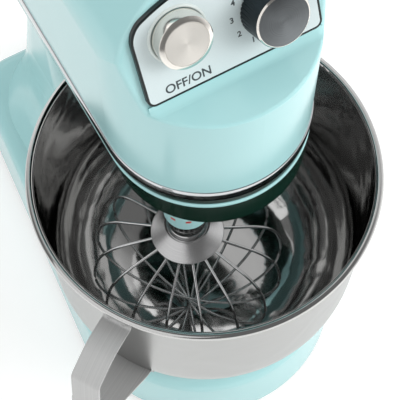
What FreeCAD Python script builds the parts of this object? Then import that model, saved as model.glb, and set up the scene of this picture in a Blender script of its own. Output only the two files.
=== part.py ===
import FreeCAD, Part
import math
import os

# Tilt-head stand mixer at full size, in millimetres.
# The origin is on the table under the bowl's axis, +Z is up and the nose faces -Y.

V = FreeCAD.Vector
X_AXIS = V(1, 0, 0)
Y_AXIS = V(0, 1, 0)
Z_AXIS = V(0, 0, 1)
ORIGIN = V(0, 0, 0)

# Clearances and walls
RUN_FIT = 0.05
BODY_GAP = 0.5
WALL = 3.0
SAME_HEIGHT = 0.01

# Base and column
FOOT_HEIGHT = 5.0
FOOT_RADIUS = 11.0
FOOT_DRAFT = 1.5
FOOT_COUNT_PER_SIDE = 3
BASE_FRONT_RADIUS = 97.5
BASE_FRONT_CENTRE_Y = 6.0
BASE_REAR_HALF_WIDTH = 81.0
BASE_REAR_Y = 240.0
BASE_CORNER_RADIUS = 34.0
BASE_DRAFT = 4.0
DECK_Z = 56.0
DECK_EDGE_RADIUS = 11.0
BOTTOM_PLATE_THICKNESS = 2.5
POST_RADIUS = 5.0
SCREW_RADIUS = 1.8
SCREW_HEAD_RADIUS = 3.4
SCREW_HEAD_HEIGHT = 1.8
SCREW_BITE = 10.0
SCREW_HOLE_SPARE = 2.0
COLUMN_HALF_WIDTH = 43.0
COLUMN_FRONT_Y = 116.0
COLUMN_FRONT_CORNER_RADIUS = 18.0
COLUMN_REAR_FOOT_Y = 237.0
COLUMN_REAR_TOP_Y = 174.0
FLARE_REACH = 26.0
FLARE_FALL = 17.0
COLUMN_JOINT_HEIGHT = 52.0
GLAND_RADIUS = 7.0
GLAND_BORE = 4.0
GLAND_HEIGHT_Z = 26.0
GLAND_STAND_OUT = 2.0
GLAND_COLLAR = 3.0

# Head hinge and head lock
HEAD_BOTTOM_Z = 268.0
BARREL_RADIUS = 75.0
BARREL_GAP = 3.0
HINGE_Y = 150.0
HINGE_Z = HEAD_BOTTOM_Z - BARREL_GAP - BARREL_RADIUS
HINGE_PIN_RADIUS = 6.0
HINGE_PIN_HALF_LENGTH = 34.0
BUSH_WALL = 3.0
BUSH_LENGTH = 14.0
BOSS_WALL = 4.0
ARM_HALF_WIDTH = 18.0
ARM_HALF_DEPTH = 12.0
ARM_HUB_RADIUS = 16.0
ARM_FLANGE_MARGIN = 12.0
ARM_SLOT_GAP = 2.0
TILT_DEG = 35.0
STOP_RADIUS = 6.0
STOP_X = 29.0
STOP_Y = 126.0
LOCK_SHAFT_RADIUS = 4.0
LOCK_Y = 126.5
LOCK_DEPTH = 33.0
LOCK_Z = HINGE_Z + BARREL_RADIUS - LOCK_DEPTH
LOCK_HOOK_HALF_WIDTH = 4.0
LOCK_HOOK_REACH = 16.0
LOCK_TIP_HEIGHT = 5.0
LOCK_TIP_GAP = 1.5
LOCK_NOTCH_DEPTH = 6.0
LOCK_LEVER_LENGTH = 30.0
LOCK_LEVER_THICKNESS = 7.0
LOCK_LEVER_RADIUS = 8.5
LOCK_TIP_RADIUS = 5.95

# Head shells
HEAD_HALF_WIDTH = 58.0
HEAD_REAR_Y = 190.0
HEAD_BOTTOM_HALF_WIDTH = 54.5
HEAD_BOTTOM_NOSE_Y = -5.0
TRIM_Z = 294.0
TRIM_HEIGHT = 9.0
TRIM_PROUD = 0.6
TRIM_WIDTH = 4.0
HEAD_TOP_Z = 430.0
LEDGE_DROP = 57.5
LEDGE_Z = HEAD_TOP_Z - LEDGE_DROP
LEDGE_EDGE_RADIUS = 1.6
LEDGE_LAP = LEDGE_EDGE_RADIUS * 3
SLOPE_EDGE_RADIUS = 3.0
ARCH_RISE = 68.0
ARCH_SPRING_Z = HEAD_TOP_Z - ARCH_RISE
ARCH_SHOULDER_OUT = 0.87
ARCH_SHOULDER_UP = 0.71
ARCH_CROWN_OUT = 0.55
ARCH_CROWN_UP = 0.925
NOTCH_HEADROOM = 40.0
ARCH_HEADROOM = 10.0

# Control panel, in its own plane: x across, v up the slope, h out of the face
PANEL_TILT_DEG = 66.5
PANEL_FOOT_Y = -30.5
PANEL_STEP = 2.0
PANEL_FOOT_Z = LEDGE_Z + PANEL_STEP
PANEL_RISE = 2.7
PANEL_HALF_WIDTH = 46.4
PANEL_SIDE_HEIGHT = 37.0
PANEL_CORNER_RADIUS = 3.5
PANEL_SHOULDER_RADIUS = 12.0
PANEL_CROWN_RADIUS = 95.0
PANEL_THICKNESS = 0.9
FRAME_THICKNESS = 1.6
FRAME_MARGIN = 0.8
BUTTON_X = -24.7
BUTTON_V = 34.1
BUTTON_RADIUS = 13.4
BUTTON_TOP_H = 12.6
BUTTON_FACE_THICKNESS = 1.0
BUTTON_CHAMFER = 2.3
BUTTON_TRAVEL = 2.0
BEZEL_FOOT_RADIUS = 15.0
BEZEL_HEIGHT = 0.8
BEZEL_LIP = 0.6
PLUNGER_RADIUS = 4.0
PLUNGER_DEPTH = 8.0
SWITCH_HALF_WIDTH = 12.0
MODULE_DEPTH = 20.0
KNOB_X = 20.8
KNOB_V = 26.5
KNOB_RADIUS = 14.6
KNOB_TOP_RADIUS = 14.0
KNOB_HEIGHT = 14.2
KNOB_RIB_COUNT = 40
KNOB_RIB_DEPTH = 0.45
KNOB_FACE_RADIUS = 12.6
KNOB_FACE_THICKNESS = 0.8
SPINDLE_RADIUS = 3.0
SPINDLE_DEPTH = 12.0
POT_RADIUS = 9.0
BOARD_THICKNESS = 1.6
BOARD_HALF_WIDTH = 38.0
BOARD_BOTTOM_V = 10.0
BOARD_TOP_V = 46.0

# Drive
CHASSIS_THICKNESS = 4.0
MODULE = 1.0
RING_TEETH = 90
PLANET_TEETH = 18
GEAR_ADDENDUM = 0.75
GEAR_DEDENDUM = 1.1
TOOTH_ROOT_SHARE = 0.29
TOOTH_TIP_SHARE = 0.14
RING_SPACE_WIDE = 0.37
RING_SPACE_NARROW = 0.26
RING_WALL = 3.5
GEAR_FACE = 12.0
GEARBOX_THICKNESS = 7.0
PLANET_ANGLE_DEG = 224.0
HUB_THICKNESS = 8.0
HUB_DROP = 6.0
HUB_WALL_WIDTH = 4.0
MAIN_SHAFT_RADIUS = 8.0
BEARING_OUTER_RADIUS = 16.0
BEARING_WIDTH = 7.0
BEARING_SPACER = 3.0
TOWER_WALL = 5.0
PULLEY_WIDTH = 12.0
PULLEY_RADIUS = 42.0
PULLEY_FLANGE = 2.0
FLANGE_THICKNESS = 1.0
SHAFT_END = 3.0
FLOOR_STEP = 1.0
MOTOR_PULLEY_RADIUS = 10.5
BELT_THICKNESS = 2.4
BELT_GAP = 0.1
MOTOR_Y = 96.0
MOTOR_RADIUS = 36.0
MOTOR_RISE_SHARE = 0.611
MOTOR_END_ROOM = 30.0
MOTOR_WALL = 2.5
MOTOR_SHAFT_RADIUS = 4.0
MOTOR_BEARING_RADIUS = 9.0
MOTOR_BEARING_WIDTH = 5.0
MOTOR_FLANGE_RADIUS = 46.0
PILLAR_RADIUS = 4.0
PILLAR_CIRCLE = 41.0
ARMATURE_RADIUS = 22.0
MAGNET_GAP = 1.0
COMMUTATOR_RADIUS = 10.0
COMMUTATOR_LENGTH = 9.0
BRUSH_SIZE = 6.0
FAN_RADIUS = 28.0
FAN_BLADES = 12
FAN_HEIGHT = 7.0
FAN_BLADE_HALF = 0.8
FAN_HUB_WALL = 4.0
ROTOR_GAP = 1.0
ARMATURE_SLOTS = 12
ARMATURE_SLOT_RADIUS = 2.0
MAGNET_DEG = 140.0
MAGNET_START_DEG = 20.0
BRUSH_GAP = 0.1
BRUSH_HOLDER_GAP = 3.0
BRUSH_COVER = 4.0

# Output shaft and whisk
OUTPUT_RADIUS = 6.5
OUTPUT_END = 4.0
BOSS_RADIUS = 13.6
BOSS_BOTTOM_Z = 234.0
OUTPUT_BUSH_WALL = 2.5
OUTPUT_BUSH_LENGTH = 14.0
DRIVE_PIN_RADIUS = 2.0
PIN_COVER = 0.8
COLLAR_Z = 202.0
COLLAR_RADIUS = 22.0
COLLAR_TOP_RADIUS = 12.3
COLLAR_HEIGHT = 11.6
NECK_RADIUS = 11.0
NECK_RING_RADIUS = 12.1
NECK_RING_HEIGHT = 6.3
NECK_GAP = 2.5
WHISK_TWIST_DEG = 30.0
FERRULE_RADIUS = 20.0
FERRULE_THICKNESS = 5.0
WIRE_RADIUS = 0.9
WIRE_LOOPS = 8
WIRE_SLOPE_DEG = 15.3
WIRE_RUN = 23.6
WIRE_SHOULDER_RADIUS = 24.0
WIRE_DEPTH_LEAST = 112.5
WIRE_DEPTH_STEP = 2.5
WIRE_ROOT_RADIUS = 16.5
WIRE_FLANK_DEG = 73.0
WIRE_TURN_DEG = 145.0
WIRE_PHASE_DEG = 137.3

# Bowl
RIM_Z = 217.0
RIM_RADIUS = 108.0
RIM_BEAD_RADIUS = 2.5
BOWL_WALL = 1.2
BOWL_TAPER = 2.0
BOWL_CURVE_Z = 130.0
BOWL_CURVE_RADIUS = 65.0
FOOT_RING_RADIUS = 58.0
FOOT_RING_WALL = 3.0
SOCKET_DEPTH = 6.0
SOCKET_RADIUS = 66.0
SOCKET_WALL = 3.0
SOCKET_FLANGE = 5.0
SOCKET_LIP_HEIGHT = 2.5
LUG_REACH = 4.0
LUG_HEIGHT = 3.0
LUG_GAP = 0.4
LUG_COUNT = 3
LUG_DEG = 24.0
GATE_SPARE_DEG = 4.0
BOWL_TWIST_DEG = 30.0
SOCKET_SCREW_RADIUS = 1.0
SOCKET_SCREW_COUNT = 4
SOCKET_SCREW_START_DEG = 45.0
SOCKET_SCREW_BITE = 8.0
SOCKET_SCREW_HEAD = 1.2
HANDLE_ANGLE_DEG = 211.5
HANDLE_WIDTH = 18.6
HANDLE_FOOT_WIDTH = 32.0
HANDLE_THICKNESS = 1.8
HANDLE_EASY_RADIUS = 30.0
HANDLE_BEND_RADIUS = 7.0
HANDLE_FLANGE = 9.0
HANDLE_TOP_Z = 200.0
HANDLE_LEVEL = 19.0
HANDLE_REACH = 38.5
HANDLE_FALL = 10.5
HANDLE_GRIP_DROP = 71.0
HANDLE_GRIP_LEAN = 8.0
HANDLE_FOOT_Z = 114.0
HANDLE_FOOT_SINK = 2.3
HANDLE_FOOT_LEAN = 3.3
HANDLE_FOOT_FLANGE = 11.0
HANDLE_SHARP_RADIUS = 2.7
OFFSET_ACCURACY = 0.001

PARTS = {}


def keep(name, shape):
    PARTS[name] = shape


def cylinder(radius, low, high, x=0.0, y=0.0):
    return Part.makeCylinder(radius, high - low, V(x, y, low))


def tube(outer, inner, low, high, x=0.0, y=0.0):
    return cylinder(outer, low, high, x, y).cut(cylinder(inner, low - 1, high + 1, x, y))


def cylinder_x(radius, low, high, y, z):
    return Part.makeCylinder(radius, high - low, V(low, y, z), X_AXIS)


def box(low, high):
    size = high - low
    return Part.makeBox(size.x, size.y, size.z, low)


def face_of(points):
    return Part.Face(Part.makePolygon(points + [points[0]]))


def prism_x(points, half_width):
    outline = face_of([V(-half_width, y, z) for y, z in points])
    return outline.extrude(V(2 * half_width, 0, 0))


def revolved(edges):
    return Part.Face(Part.Wire(edges)).revolve(ORIGIN, Z_AXIS, 360)


def fused(shapes):
    first = shapes[0]
    if len(shapes) == 1:
        return first
    return first.multiFuse(shapes[1:]).removeSplitter()


def group(shapes):
    return Part.makeCompound(shapes)


def turned(shape, degrees, x=0.0, y=0.0):
    copy = shape.copy()
    copy.rotate(V(x, y, 0), Z_AXIS, degrees)
    return copy


def ring_of(shape, count, start=0.0, x=0.0, y=0.0):
    return [turned(shape, start + i * 360.0 / count, x, y) for i in range(count)]


def bullet(round_radius, round_y, flat_half, flat_y, corner, z, inset=0.0):
    """Closed outline with one round end and one flat end with two rounded corners."""
    way = 1 if flat_y > round_y else -1
    corner_x = flat_half - corner
    corner_y = abs(flat_y - round_y) - corner
    reach = math.hypot(corner_x, corner_y)
    swing = math.atan2(corner_y, corner_x) - math.acos((round_radius - corner) / reach)
    middle = (swing + math.pi / 2) / 2
    r = round_radius - inset
    c = corner - inset

    def at(side, px, py):
        return V(side * px, round_y + way * py, z)

    def corner_at(side, angle):
        return at(side, corner_x + c * math.cos(angle), corner_y + c * math.sin(angle))

    start = at(1, r * math.cos(swing), r * math.sin(swing))
    finish = at(-1, r * math.cos(swing), r * math.sin(swing))
    edges = [
        Part.Arc(start, at(1, 0, -r), finish).toShape(),
        Part.makeLine(finish, corner_at(-1, swing)),
        Part.Arc(corner_at(-1, swing), corner_at(-1, middle), corner_at(-1, math.pi / 2)).toShape(),
        Part.makeLine(corner_at(-1, math.pi / 2), corner_at(1, math.pi / 2)),
        Part.Arc(corner_at(1, math.pi / 2), corner_at(1, middle), corner_at(1, swing)).toShape(),
        Part.makeLine(corner_at(1, swing), start),
    ]
    return Part.Wire(edges)


def raised(wire, height):
    return Part.Face(wire).extrude(V(0, 0, height))


def loft(wires, ruled):
    return Part.makeLoft(wires, True, ruled)


# Base and column shell: two castings, open underneath, with a barrel-shaped top round the hinge

def base_outline(z, inset):
    return bullet(BASE_FRONT_RADIUS, BASE_FRONT_CENTRE_Y, BASE_REAR_HALF_WIDTH, BASE_REAR_Y,
                  BASE_CORNER_RADIUS, z, inset)


COLUMN_TOP_Z = HINGE_Z + BARREL_RADIUS + 1.0
FLARE_LEVELS = (-6.0, 0.0, 7.0, 16.0, 30.0, COLUMN_JOINT_HEIGHT, 90.0)


def column_outline(level, inset):
    flare = FLARE_REACH * math.exp(-level / FLARE_FALL)
    half = COLUMN_HALF_WIDTH + flare
    lean = (COLUMN_REAR_FOOT_Y - COLUMN_REAR_TOP_Y) / (COLUMN_TOP_Z - DECK_Z)
    rear = COLUMN_REAR_FOOT_Y - lean * level
    return bullet(half, rear - half, half, COLUMN_FRONT_Y - flare,
                  COLUMN_FRONT_CORNER_RADIUS + flare / 2, DECK_Z + level, inset)


def column_body(inset):
    foot = loft([column_outline(level, inset) for level in FLARE_LEVELS], False)
    shaft_levels = (FLARE_LEVELS[-1], COLUMN_TOP_Z - DECK_Z)
    shaft = loft([column_outline(level, inset) for level in shaft_levels], True)
    tower = foot.fuse(shaft)
    barrel = cylinder_x(BARREL_RADIUS - inset, -HEAD_HALF_WIDTH * 2, HEAD_HALF_WIDTH * 2, HINGE_Y, HINGE_Z)
    below = box(V(-BASE_FRONT_RADIUS, -BASE_REAR_Y, -1), V(BASE_FRONT_RADIUS, BASE_REAR_Y * 2, HINGE_Z))
    return tower.common(barrel.fuse(below))


def foot_places():
    first = BASE_FRONT_CENTRE_Y - BASE_FRONT_RADIUS / 2
    last = BASE_REAR_Y - BASE_CORNER_RADIUS
    places = []
    for i in range(FOOT_COUNT_PER_SIDE):
        share = i / (FOOT_COUNT_PER_SIDE - 1)
        y = first + share * (last - first)
        half = BASE_FRONT_RADIUS * math.cos(math.asin(0.5)) if i == 0 else BASE_REAR_HALF_WIDTH
        for side in (-1, 1):
            places.append((side * (half - WALL - FOOT_RADIUS - POST_RADIUS), y))
    return places


def screw_places():
    return [(x, y + FOOT_RADIUS + SCREW_HEAD_RADIUS + 2 * BODY_GAP) for x, y in foot_places()]


PLATE_TOP_Z = FOOT_HEIGHT + BOTTOM_PLATE_THICKNESS
BUSH_RADIUS = HINGE_PIN_RADIUS + BUSH_WALL
BOSS_INNER_X = ARM_HALF_WIDTH + BODY_GAP
LOCK_BOSS_RADIUS = LOCK_SHAFT_RADIUS + BOSS_WALL
SOCKET_SCREW_CIRCLE = SOCKET_RADIUS + SOCKET_FLANGE / 2
SOCKET_HOLE_LOW_Z = DECK_Z - SOCKET_SCREW_BITE - SCREW_HOLE_SPARE


def wedge_of_slot():
    """Room for the hinge arm over its whole swing, cut through the barrel and down the back."""
    side = ARM_HALF_DEPTH + ARM_SLOT_GAP
    reach = BARREL_RADIUS * 2
    tilt = math.radians(TILT_DEG)
    back_y = HINGE_Y + side * math.cos(tilt)
    back_z = HINGE_Z - side * math.sin(tilt)
    points = [(HINGE_Y - side, HINGE_Z), (HINGE_Y - side, HINGE_Z + reach)]
    points.append((HINGE_Y + reach * math.sin(tilt / 2), HINGE_Z + reach * math.cos(tilt / 2) + side))
    points.append((back_y + reach * math.sin(tilt), back_z + reach * math.cos(tilt)))
    points.append((back_y, back_z))
    wedge = prism_x(points, BOSS_INNER_X)
    hub = cylinder_x(ARM_HUB_RADIUS * 2, -BOSS_INNER_X - 1, BOSS_INNER_X + 1, HINGE_Y, HINGE_Z)
    return wedge.cut(hub)


def lies_at(edge, z):
    return abs(edge.BoundBox.ZMin - z) < SAME_HEIGHT and abs(edge.BoundBox.ZMax - z) < SAME_HEIGHT


def base_shell():
    slab = loft([base_outline(FOOT_HEIGHT, 0.0), base_outline(DECK_Z, BASE_DRAFT)], True)
    rim = [edge for edge in slab.Edges if lies_at(edge, DECK_Z)]
    slab = slab.makeFillet(DECK_EDGE_RADIUS, rim)
    column = column_body(0.0)
    outer = slab.fuse(column).removeSplitter()
    hollow = loft([base_outline(FOOT_HEIGHT - 1, WALL), base_outline(DECK_Z - WALL, BASE_DRAFT + WALL)], True)
    shell = outer.cut(hollow).cut(column_body(WALL))
    posts = []
    for x, y in screw_places():
        posts.append(cylinder(POST_RADIUS, PLATE_TOP_Z, DECK_Z - 1, x, y).common(outer))
    for side in (-1, 1):
        low = min(side * BOSS_INNER_X, side * COLUMN_HALF_WIDTH)
        high = max(side * BOSS_INNER_X, side * COLUMN_HALF_WIDTH)
        boss = cylinder_x(BUSH_RADIUS + BOSS_WALL, low, high, HINGE_Y, HINGE_Z)
        posts.append(boss.common(column))
    lock_boss = cylinder_x(LOCK_BOSS_RADIUS, BOSS_INNER_X, COLUMN_HALF_WIDTH, LOCK_Y, LOCK_Z)
    posts.append(lock_boss.common(column))
    shell = shell.multiFuse(posts)
    shell = shell.cut(wedge_of_slot())
    cuts = [cylinder(SOCKET_RADIUS + BODY_GAP / 2, 0, DECK_Z + 1)]
    cuts.append(cylinder_x(BUSH_RADIUS, -HINGE_PIN_HALF_LENGTH, HINGE_PIN_HALF_LENGTH, HINGE_Y, HINGE_Z))
    cuts.append(cylinder_x(LOCK_SHAFT_RADIUS + RUN_FIT, 0, BASE_FRONT_RADIUS, LOCK_Y, LOCK_Z))
    for x, y in screw_places():
        cuts.append(cylinder(SCREW_RADIUS, 0, PLATE_TOP_Z + SCREW_BITE + SCREW_HOLE_SPARE, x, y))
    hole = cylinder(SOCKET_SCREW_RADIUS, SOCKET_HOLE_LOW_Z, DECK_Z + 1, SOCKET_SCREW_CIRCLE, 0)
    cuts += ring_of(hole, SOCKET_SCREW_COUNT, SOCKET_SCREW_START_DEG)
    gland_start = V(0, BASE_REAR_Y - WALL * 5, GLAND_HEIGHT_Z)
    cuts.append(Part.makeCylinder(GLAND_RADIUS, WALL * 6, gland_start, Y_AXIS))
    shell = shell.cut(fused(cuts))
    joint_z = DECK_Z + COLUMN_JOINT_HEIGHT
    below = box(V(-BASE_FRONT_RADIUS, -BASE_REAR_Y, 0), V(BASE_FRONT_RADIUS, BASE_REAR_Y * 2, joint_z))
    castings = [shell.common(below), shell.cut(below)]
    return group([max(casting.Solids, key=lambda s: s.Volume) for casting in castings])


def make_stand():
    keep("base_shell", base_shell())
    plate = raised(base_outline(FOOT_HEIGHT, WALL + BODY_GAP), BOTTOM_PLATE_THICKNESS)
    holes = [cylinder(SCREW_RADIUS, 0, DECK_Z, x, y) for x, y in screw_places()]
    keep("bottom_plate", plate.cut(fused(holes)))
    feet = []
    for x, y in foot_places():
        feet.append(Part.makeCone(FOOT_RADIUS - FOOT_DRAFT, FOOT_RADIUS, FOOT_HEIGHT, V(x, y, 0)))
    keep("rubber_feet", group(feet))
    screws = []
    for x, y in screw_places():
        head = cylinder(SCREW_HEAD_RADIUS, FOOT_HEIGHT - SCREW_HEAD_HEIGHT, FOOT_HEIGHT, x, y)
        shank = cylinder(SCREW_RADIUS, FOOT_HEIGHT - SCREW_HEAD_HEIGHT, PLATE_TOP_Z + SCREW_BITE, x, y)
        screws.append(head.fuse(shank).removeSplitter())
    keep("bottom_screws", group(screws))
    gland_back = BASE_REAR_Y - WALL * 3
    gland_length = WALL * 3 + GLAND_STAND_OUT
    gland = Part.makeCylinder(GLAND_RADIUS, gland_length, V(0, gland_back, GLAND_HEIGHT_Z), Y_AXIS)
    collar = Part.makeCylinder(GLAND_RADIUS + GLAND_COLLAR, GLAND_STAND_OUT + BODY_GAP,
                               V(0, BASE_REAR_Y - BODY_GAP, GLAND_HEIGHT_Z), Y_AXIS)
    bore = Part.makeCylinder(GLAND_BORE, WALL * 8, V(0, gland_back - 1, GLAND_HEIGHT_Z), Y_AXIS)
    slab = loft([base_outline(FOOT_HEIGHT, 0.0), base_outline(DECK_Z, BASE_DRAFT)], True)
    keep("cord_gland", gland.fuse(collar.cut(slab)).removeSplitter().cut(bore))
    pin = cylinder_x(HINGE_PIN_RADIUS, -HINGE_PIN_HALF_LENGTH, HINGE_PIN_HALF_LENGTH, HINGE_Y, HINGE_Z)
    keep("hinge_pin", pin)
    bushes = []
    for low in (-HINGE_PIN_HALF_LENGTH, HINGE_PIN_HALF_LENGTH - BUSH_LENGTH):
        bush = cylinder_x(BUSH_RADIUS, low, low + BUSH_LENGTH, HINGE_Y, HINGE_Z)
        bushes.append(bush.cut(pin))
    keep("hinge_bushes", group(bushes))
    stops = []
    barrel = cylinder_x(BARREL_RADIUS, -COLUMN_HALF_WIDTH, COLUMN_HALF_WIDTH, HINGE_Y, HINGE_Z)
    for side in (-1, 1):
        stops.append(cylinder(STOP_RADIUS, HINGE_Z, HEAD_BOTTOM_Z, side * STOP_X, STOP_Y).cut(barrel))
    keep("head_stops", group(stops))


# Bowl socket: a bayonet ring let into the deck

FOOT_FLOOR_Z = DECK_Z - SOCKET_DEPTH
LIP_TOP_Z = DECK_Z + SOCKET_LIP_HEIGHT
LIP_LOW_Z = FOOT_FLOOR_Z + LUG_HEIGHT + 2 * LUG_GAP
LUG_RADIUS = FOOT_RING_RADIUS + LUG_REACH


def sector(outer, inner, low, high, degrees):
    piece = Part.makeCylinder(outer, high - low, V(0, 0, low), Z_AXIS, degrees)
    piece.rotate(ORIGIN, Z_AXIS, -degrees / 2)
    return piece.cut(cylinder(inner, low - 1, high + 1))


def make_socket():
    floor_low = FOOT_FLOOR_Z - SOCKET_WALL
    cup = cylinder(SOCKET_RADIUS, floor_low, LIP_TOP_Z)
    cup = cup.cut(cylinder(LUG_RADIUS + 2 * LUG_GAP, FOOT_FLOOR_Z, LIP_LOW_Z))
    cup = cup.cut(cylinder(FOOT_RING_RADIUS + 2 * LUG_GAP, LIP_LOW_Z - 1, LIP_TOP_Z + 1))
    cup = cup.fuse(tube(SOCKET_RADIUS + SOCKET_FLANGE, SOCKET_RADIUS - 1, DECK_Z, LIP_TOP_Z))
    gate_deg = LUG_DEG + GATE_SPARE_DEG
    gate = sector(LUG_RADIUS + 2 * LUG_GAP, FOOT_RING_RADIUS, LIP_LOW_Z - LUG_GAP, LIP_TOP_Z + 1, gate_deg)
    cuts = ring_of(gate, LUG_COUNT, BOWL_TWIST_DEG)
    screw_hole = cylinder(SOCKET_SCREW_RADIUS, SOCKET_HOLE_LOW_Z, LIP_TOP_Z + 1, SOCKET_SCREW_CIRCLE, 0)
    cuts += ring_of(screw_hole, SOCKET_SCREW_COUNT, SOCKET_SCREW_START_DEG)
    keep("bowl_socket", cup.cut(fused(cuts)).removeSplitter())
    shank = cylinder(SOCKET_SCREW_RADIUS, DECK_Z - SOCKET_SCREW_BITE, LIP_TOP_Z, SOCKET_SCREW_CIRCLE, 0)
    head = cylinder(2 * SOCKET_SCREW_RADIUS, LIP_TOP_Z, LIP_TOP_Z + SOCKET_SCREW_HEAD, SOCKET_SCREW_CIRCLE, 0)
    screw = shank.fuse(head).removeSplitter()
    keep("socket_screws", group(ring_of(screw, SOCKET_SCREW_COUNT, SOCKET_SCREW_START_DEG)))


# Head lock: a lever outside the column turns a hook that drops into the hinge arm's notch

def make_lock():
    outside_x = COLUMN_HALF_WIDTH + 2 * BODY_GAP
    keep("lock_shaft", cylinder_x(LOCK_SHAFT_RADIUS, -LOCK_HOOK_HALF_WIDTH, outside_x, LOCK_Y, LOCK_Z))
    eye_radius = LOCK_SHAFT_RADIUS + BOSS_WALL - BODY_GAP
    eye = cylinder_x(eye_radius, -LOCK_HOOK_HALF_WIDTH, LOCK_HOOK_HALF_WIDTH, LOCK_Y, LOCK_Z)
    tip_y = HINGE_Y - ARM_HALF_DEPTH - LOCK_TIP_GAP
    tip_z = LOCK_Z + LOCK_HOOK_REACH
    blade = prism_x([(LOCK_Y - LOCK_SHAFT_RADIUS, LOCK_Z), (LOCK_Y + LOCK_SHAFT_RADIUS, LOCK_Z),
                     (LOCK_Y + LOCK_SHAFT_RADIUS, tip_z - LOCK_TIP_HEIGHT),
                     (tip_y, tip_z - LOCK_TIP_HEIGHT / 2), (tip_y, tip_z),
                     (LOCK_Y - LOCK_SHAFT_RADIUS / 2, tip_z)], LOCK_HOOK_HALF_WIDTH)
    hook = eye.fuse(blade).removeSplitter()
    keep("lock_hook", hook.cut(PARTS["lock_shaft"]))
    low = outside_x
    high = outside_x + LOCK_LEVER_THICKNESS
    knob = cylinder_x(LOCK_LEVER_RADIUS, low, high, LOCK_Y, LOCK_Z)
    end = cylinder_x(LOCK_TIP_RADIUS, low, high, LOCK_Y, LOCK_Z - LOCK_LEVER_LENGTH)
    bar = box(V(low, LOCK_Y - LOCK_TIP_RADIUS, LOCK_Z - LOCK_LEVER_LENGTH),
              V(high, LOCK_Y + LOCK_TIP_RADIUS, LOCK_Z))
    keep("lock_lever", fused([knob, end, bar]))


# Head shells: upper cover, chrome trim and lower shell share one bullet-shaped outline

TRIM_TOP_Z = TRIM_Z + TRIM_HEIGHT


HEAD_REAR_CENTRE_Y = HEAD_REAR_Y - HEAD_HALF_WIDTH


def stadium(half, front_centre, rear_centre, z):
    """Closed outline of two half circles joined by straight sides."""
    front_left = V(-half, front_centre, z)
    front_right = V(half, front_centre, z)
    rear_left = V(-half, rear_centre, z)
    rear_right = V(half, rear_centre, z)
    front = Part.Arc(front_right, V(0, front_centre - half, z), front_left).toShape()
    rear = Part.Arc(rear_left, V(0, rear_centre + half, z), rear_right).toShape()
    left = Part.makeLine(front_left, rear_left)
    right = Part.makeLine(rear_right, front_right)
    return Part.Wire([front, left, rear, right])


def head_outline(z, inset):
    return stadium(HEAD_HALF_WIDTH - inset, 0.0, HEAD_REAR_CENTRE_Y, z)


def head_bottom_outline(z, inset):
    return stadium(HEAD_BOTTOM_HALF_WIDTH - inset, HEAD_BOTTOM_NOSE_Y, HEAD_REAR_CENTRE_Y, z)


def arch_face(inset):
    """Half of the head's cross-section: an upright side that turns in to a low crown."""
    half = HEAD_HALF_WIDTH - inset
    top = V(0, 0, HEAD_TOP_Z - inset)
    spring = V(half, 0, ARCH_SPRING_Z)
    rise = ARCH_RISE - inset
    shoulder = V(half * ARCH_SHOULDER_OUT, 0, ARCH_SPRING_Z + rise * ARCH_SHOULDER_UP)
    crown = V(half * ARCH_CROWN_OUT, 0, ARCH_SPRING_Z + rise * ARCH_CROWN_UP)
    curve = Part.BSplineCurve()
    curve.interpolate([spring, shoulder, crown, top], InitialTangent=Z_AXIS, FinalTangent=-X_AXIS)
    low = TRIM_TOP_Z - inset
    foot = V(half, 0, low)
    middle = V(0, 0, low)
    edges = [curve.toShape(), Part.makeLine(top, middle), Part.makeLine(middle, foot)]
    edges.append(Part.makeLine(foot, spring))
    return Part.Face(Part.Wire(edges))


def arch_body(inset):
    """The arch drawn out along the head, with its back end turned to a dome."""
    section = arch_face(inset)
    length = HEAD_REAR_CENTRE_Y + HEAD_HALF_WIDTH
    start = V(0, -HEAD_HALF_WIDTH, 0)
    right = section.extrude(V(0, length, 0))
    right.translate(start)
    left = right.mirror(ORIGIN, X_AXIS)
    dome = section.revolve(ORIGIN, Z_AXIS, 360)
    dome.translate(V(0, HEAD_REAR_CENTRE_Y, 0))
    return fused([right, left, dome])


def panel_notch(inset, drop):
    """What the panel's plane takes off the front of the head, down to a drop below the ledge."""
    slope = math.radians(PANEL_TILT_DEG)
    low = LEDGE_Z - inset - drop
    foot_y = PANEL_FOOT_Y + inset / math.sin(slope)
    low_y = foot_y - (PANEL_FOOT_Z - low) / math.tan(slope)
    high = HEAD_TOP_Z + NOTCH_HEADROOM
    high_y = foot_y + (high - PANEL_FOOT_Z) / math.tan(slope)
    front = -HEAD_HALF_WIDTH * 2
    return prism_x([(front, low), (low_y, low), (high_y, high), (front, high)], HEAD_HALF_WIDTH * 2)


def whole_head(inset):
    """The arch inside the head's outline, before the ledge and the slope are cut."""
    body = raised(head_outline(TRIM_TOP_Z - inset - 1.0, inset), HEAD_TOP_Z - TRIM_TOP_Z + ARCH_HEADROOM)
    return arch_body(inset).common(body)


def cover_inside():
    return whole_head(WALL).cut(panel_notch(WALL, 0.0))


def middle_of(edge):
    return edge.valueAt((edge.FirstParameter + edge.LastParameter) / 2)


def in_slope(edge):
    """Whether an edge lies in the panel's plane."""
    slope = math.radians(PANEL_TILT_DEG)
    normal = V(0, -math.sin(slope), math.cos(slope))
    foot = V(0, PANEL_FOOT_Y, PANEL_FOOT_Z)
    places = [edge.Vertexes[0].Point, middle_of(edge), edge.Vertexes[-1].Point]
    return all(abs((place - foot).dot(normal)) < SAME_HEIGHT for place in places)


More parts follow.
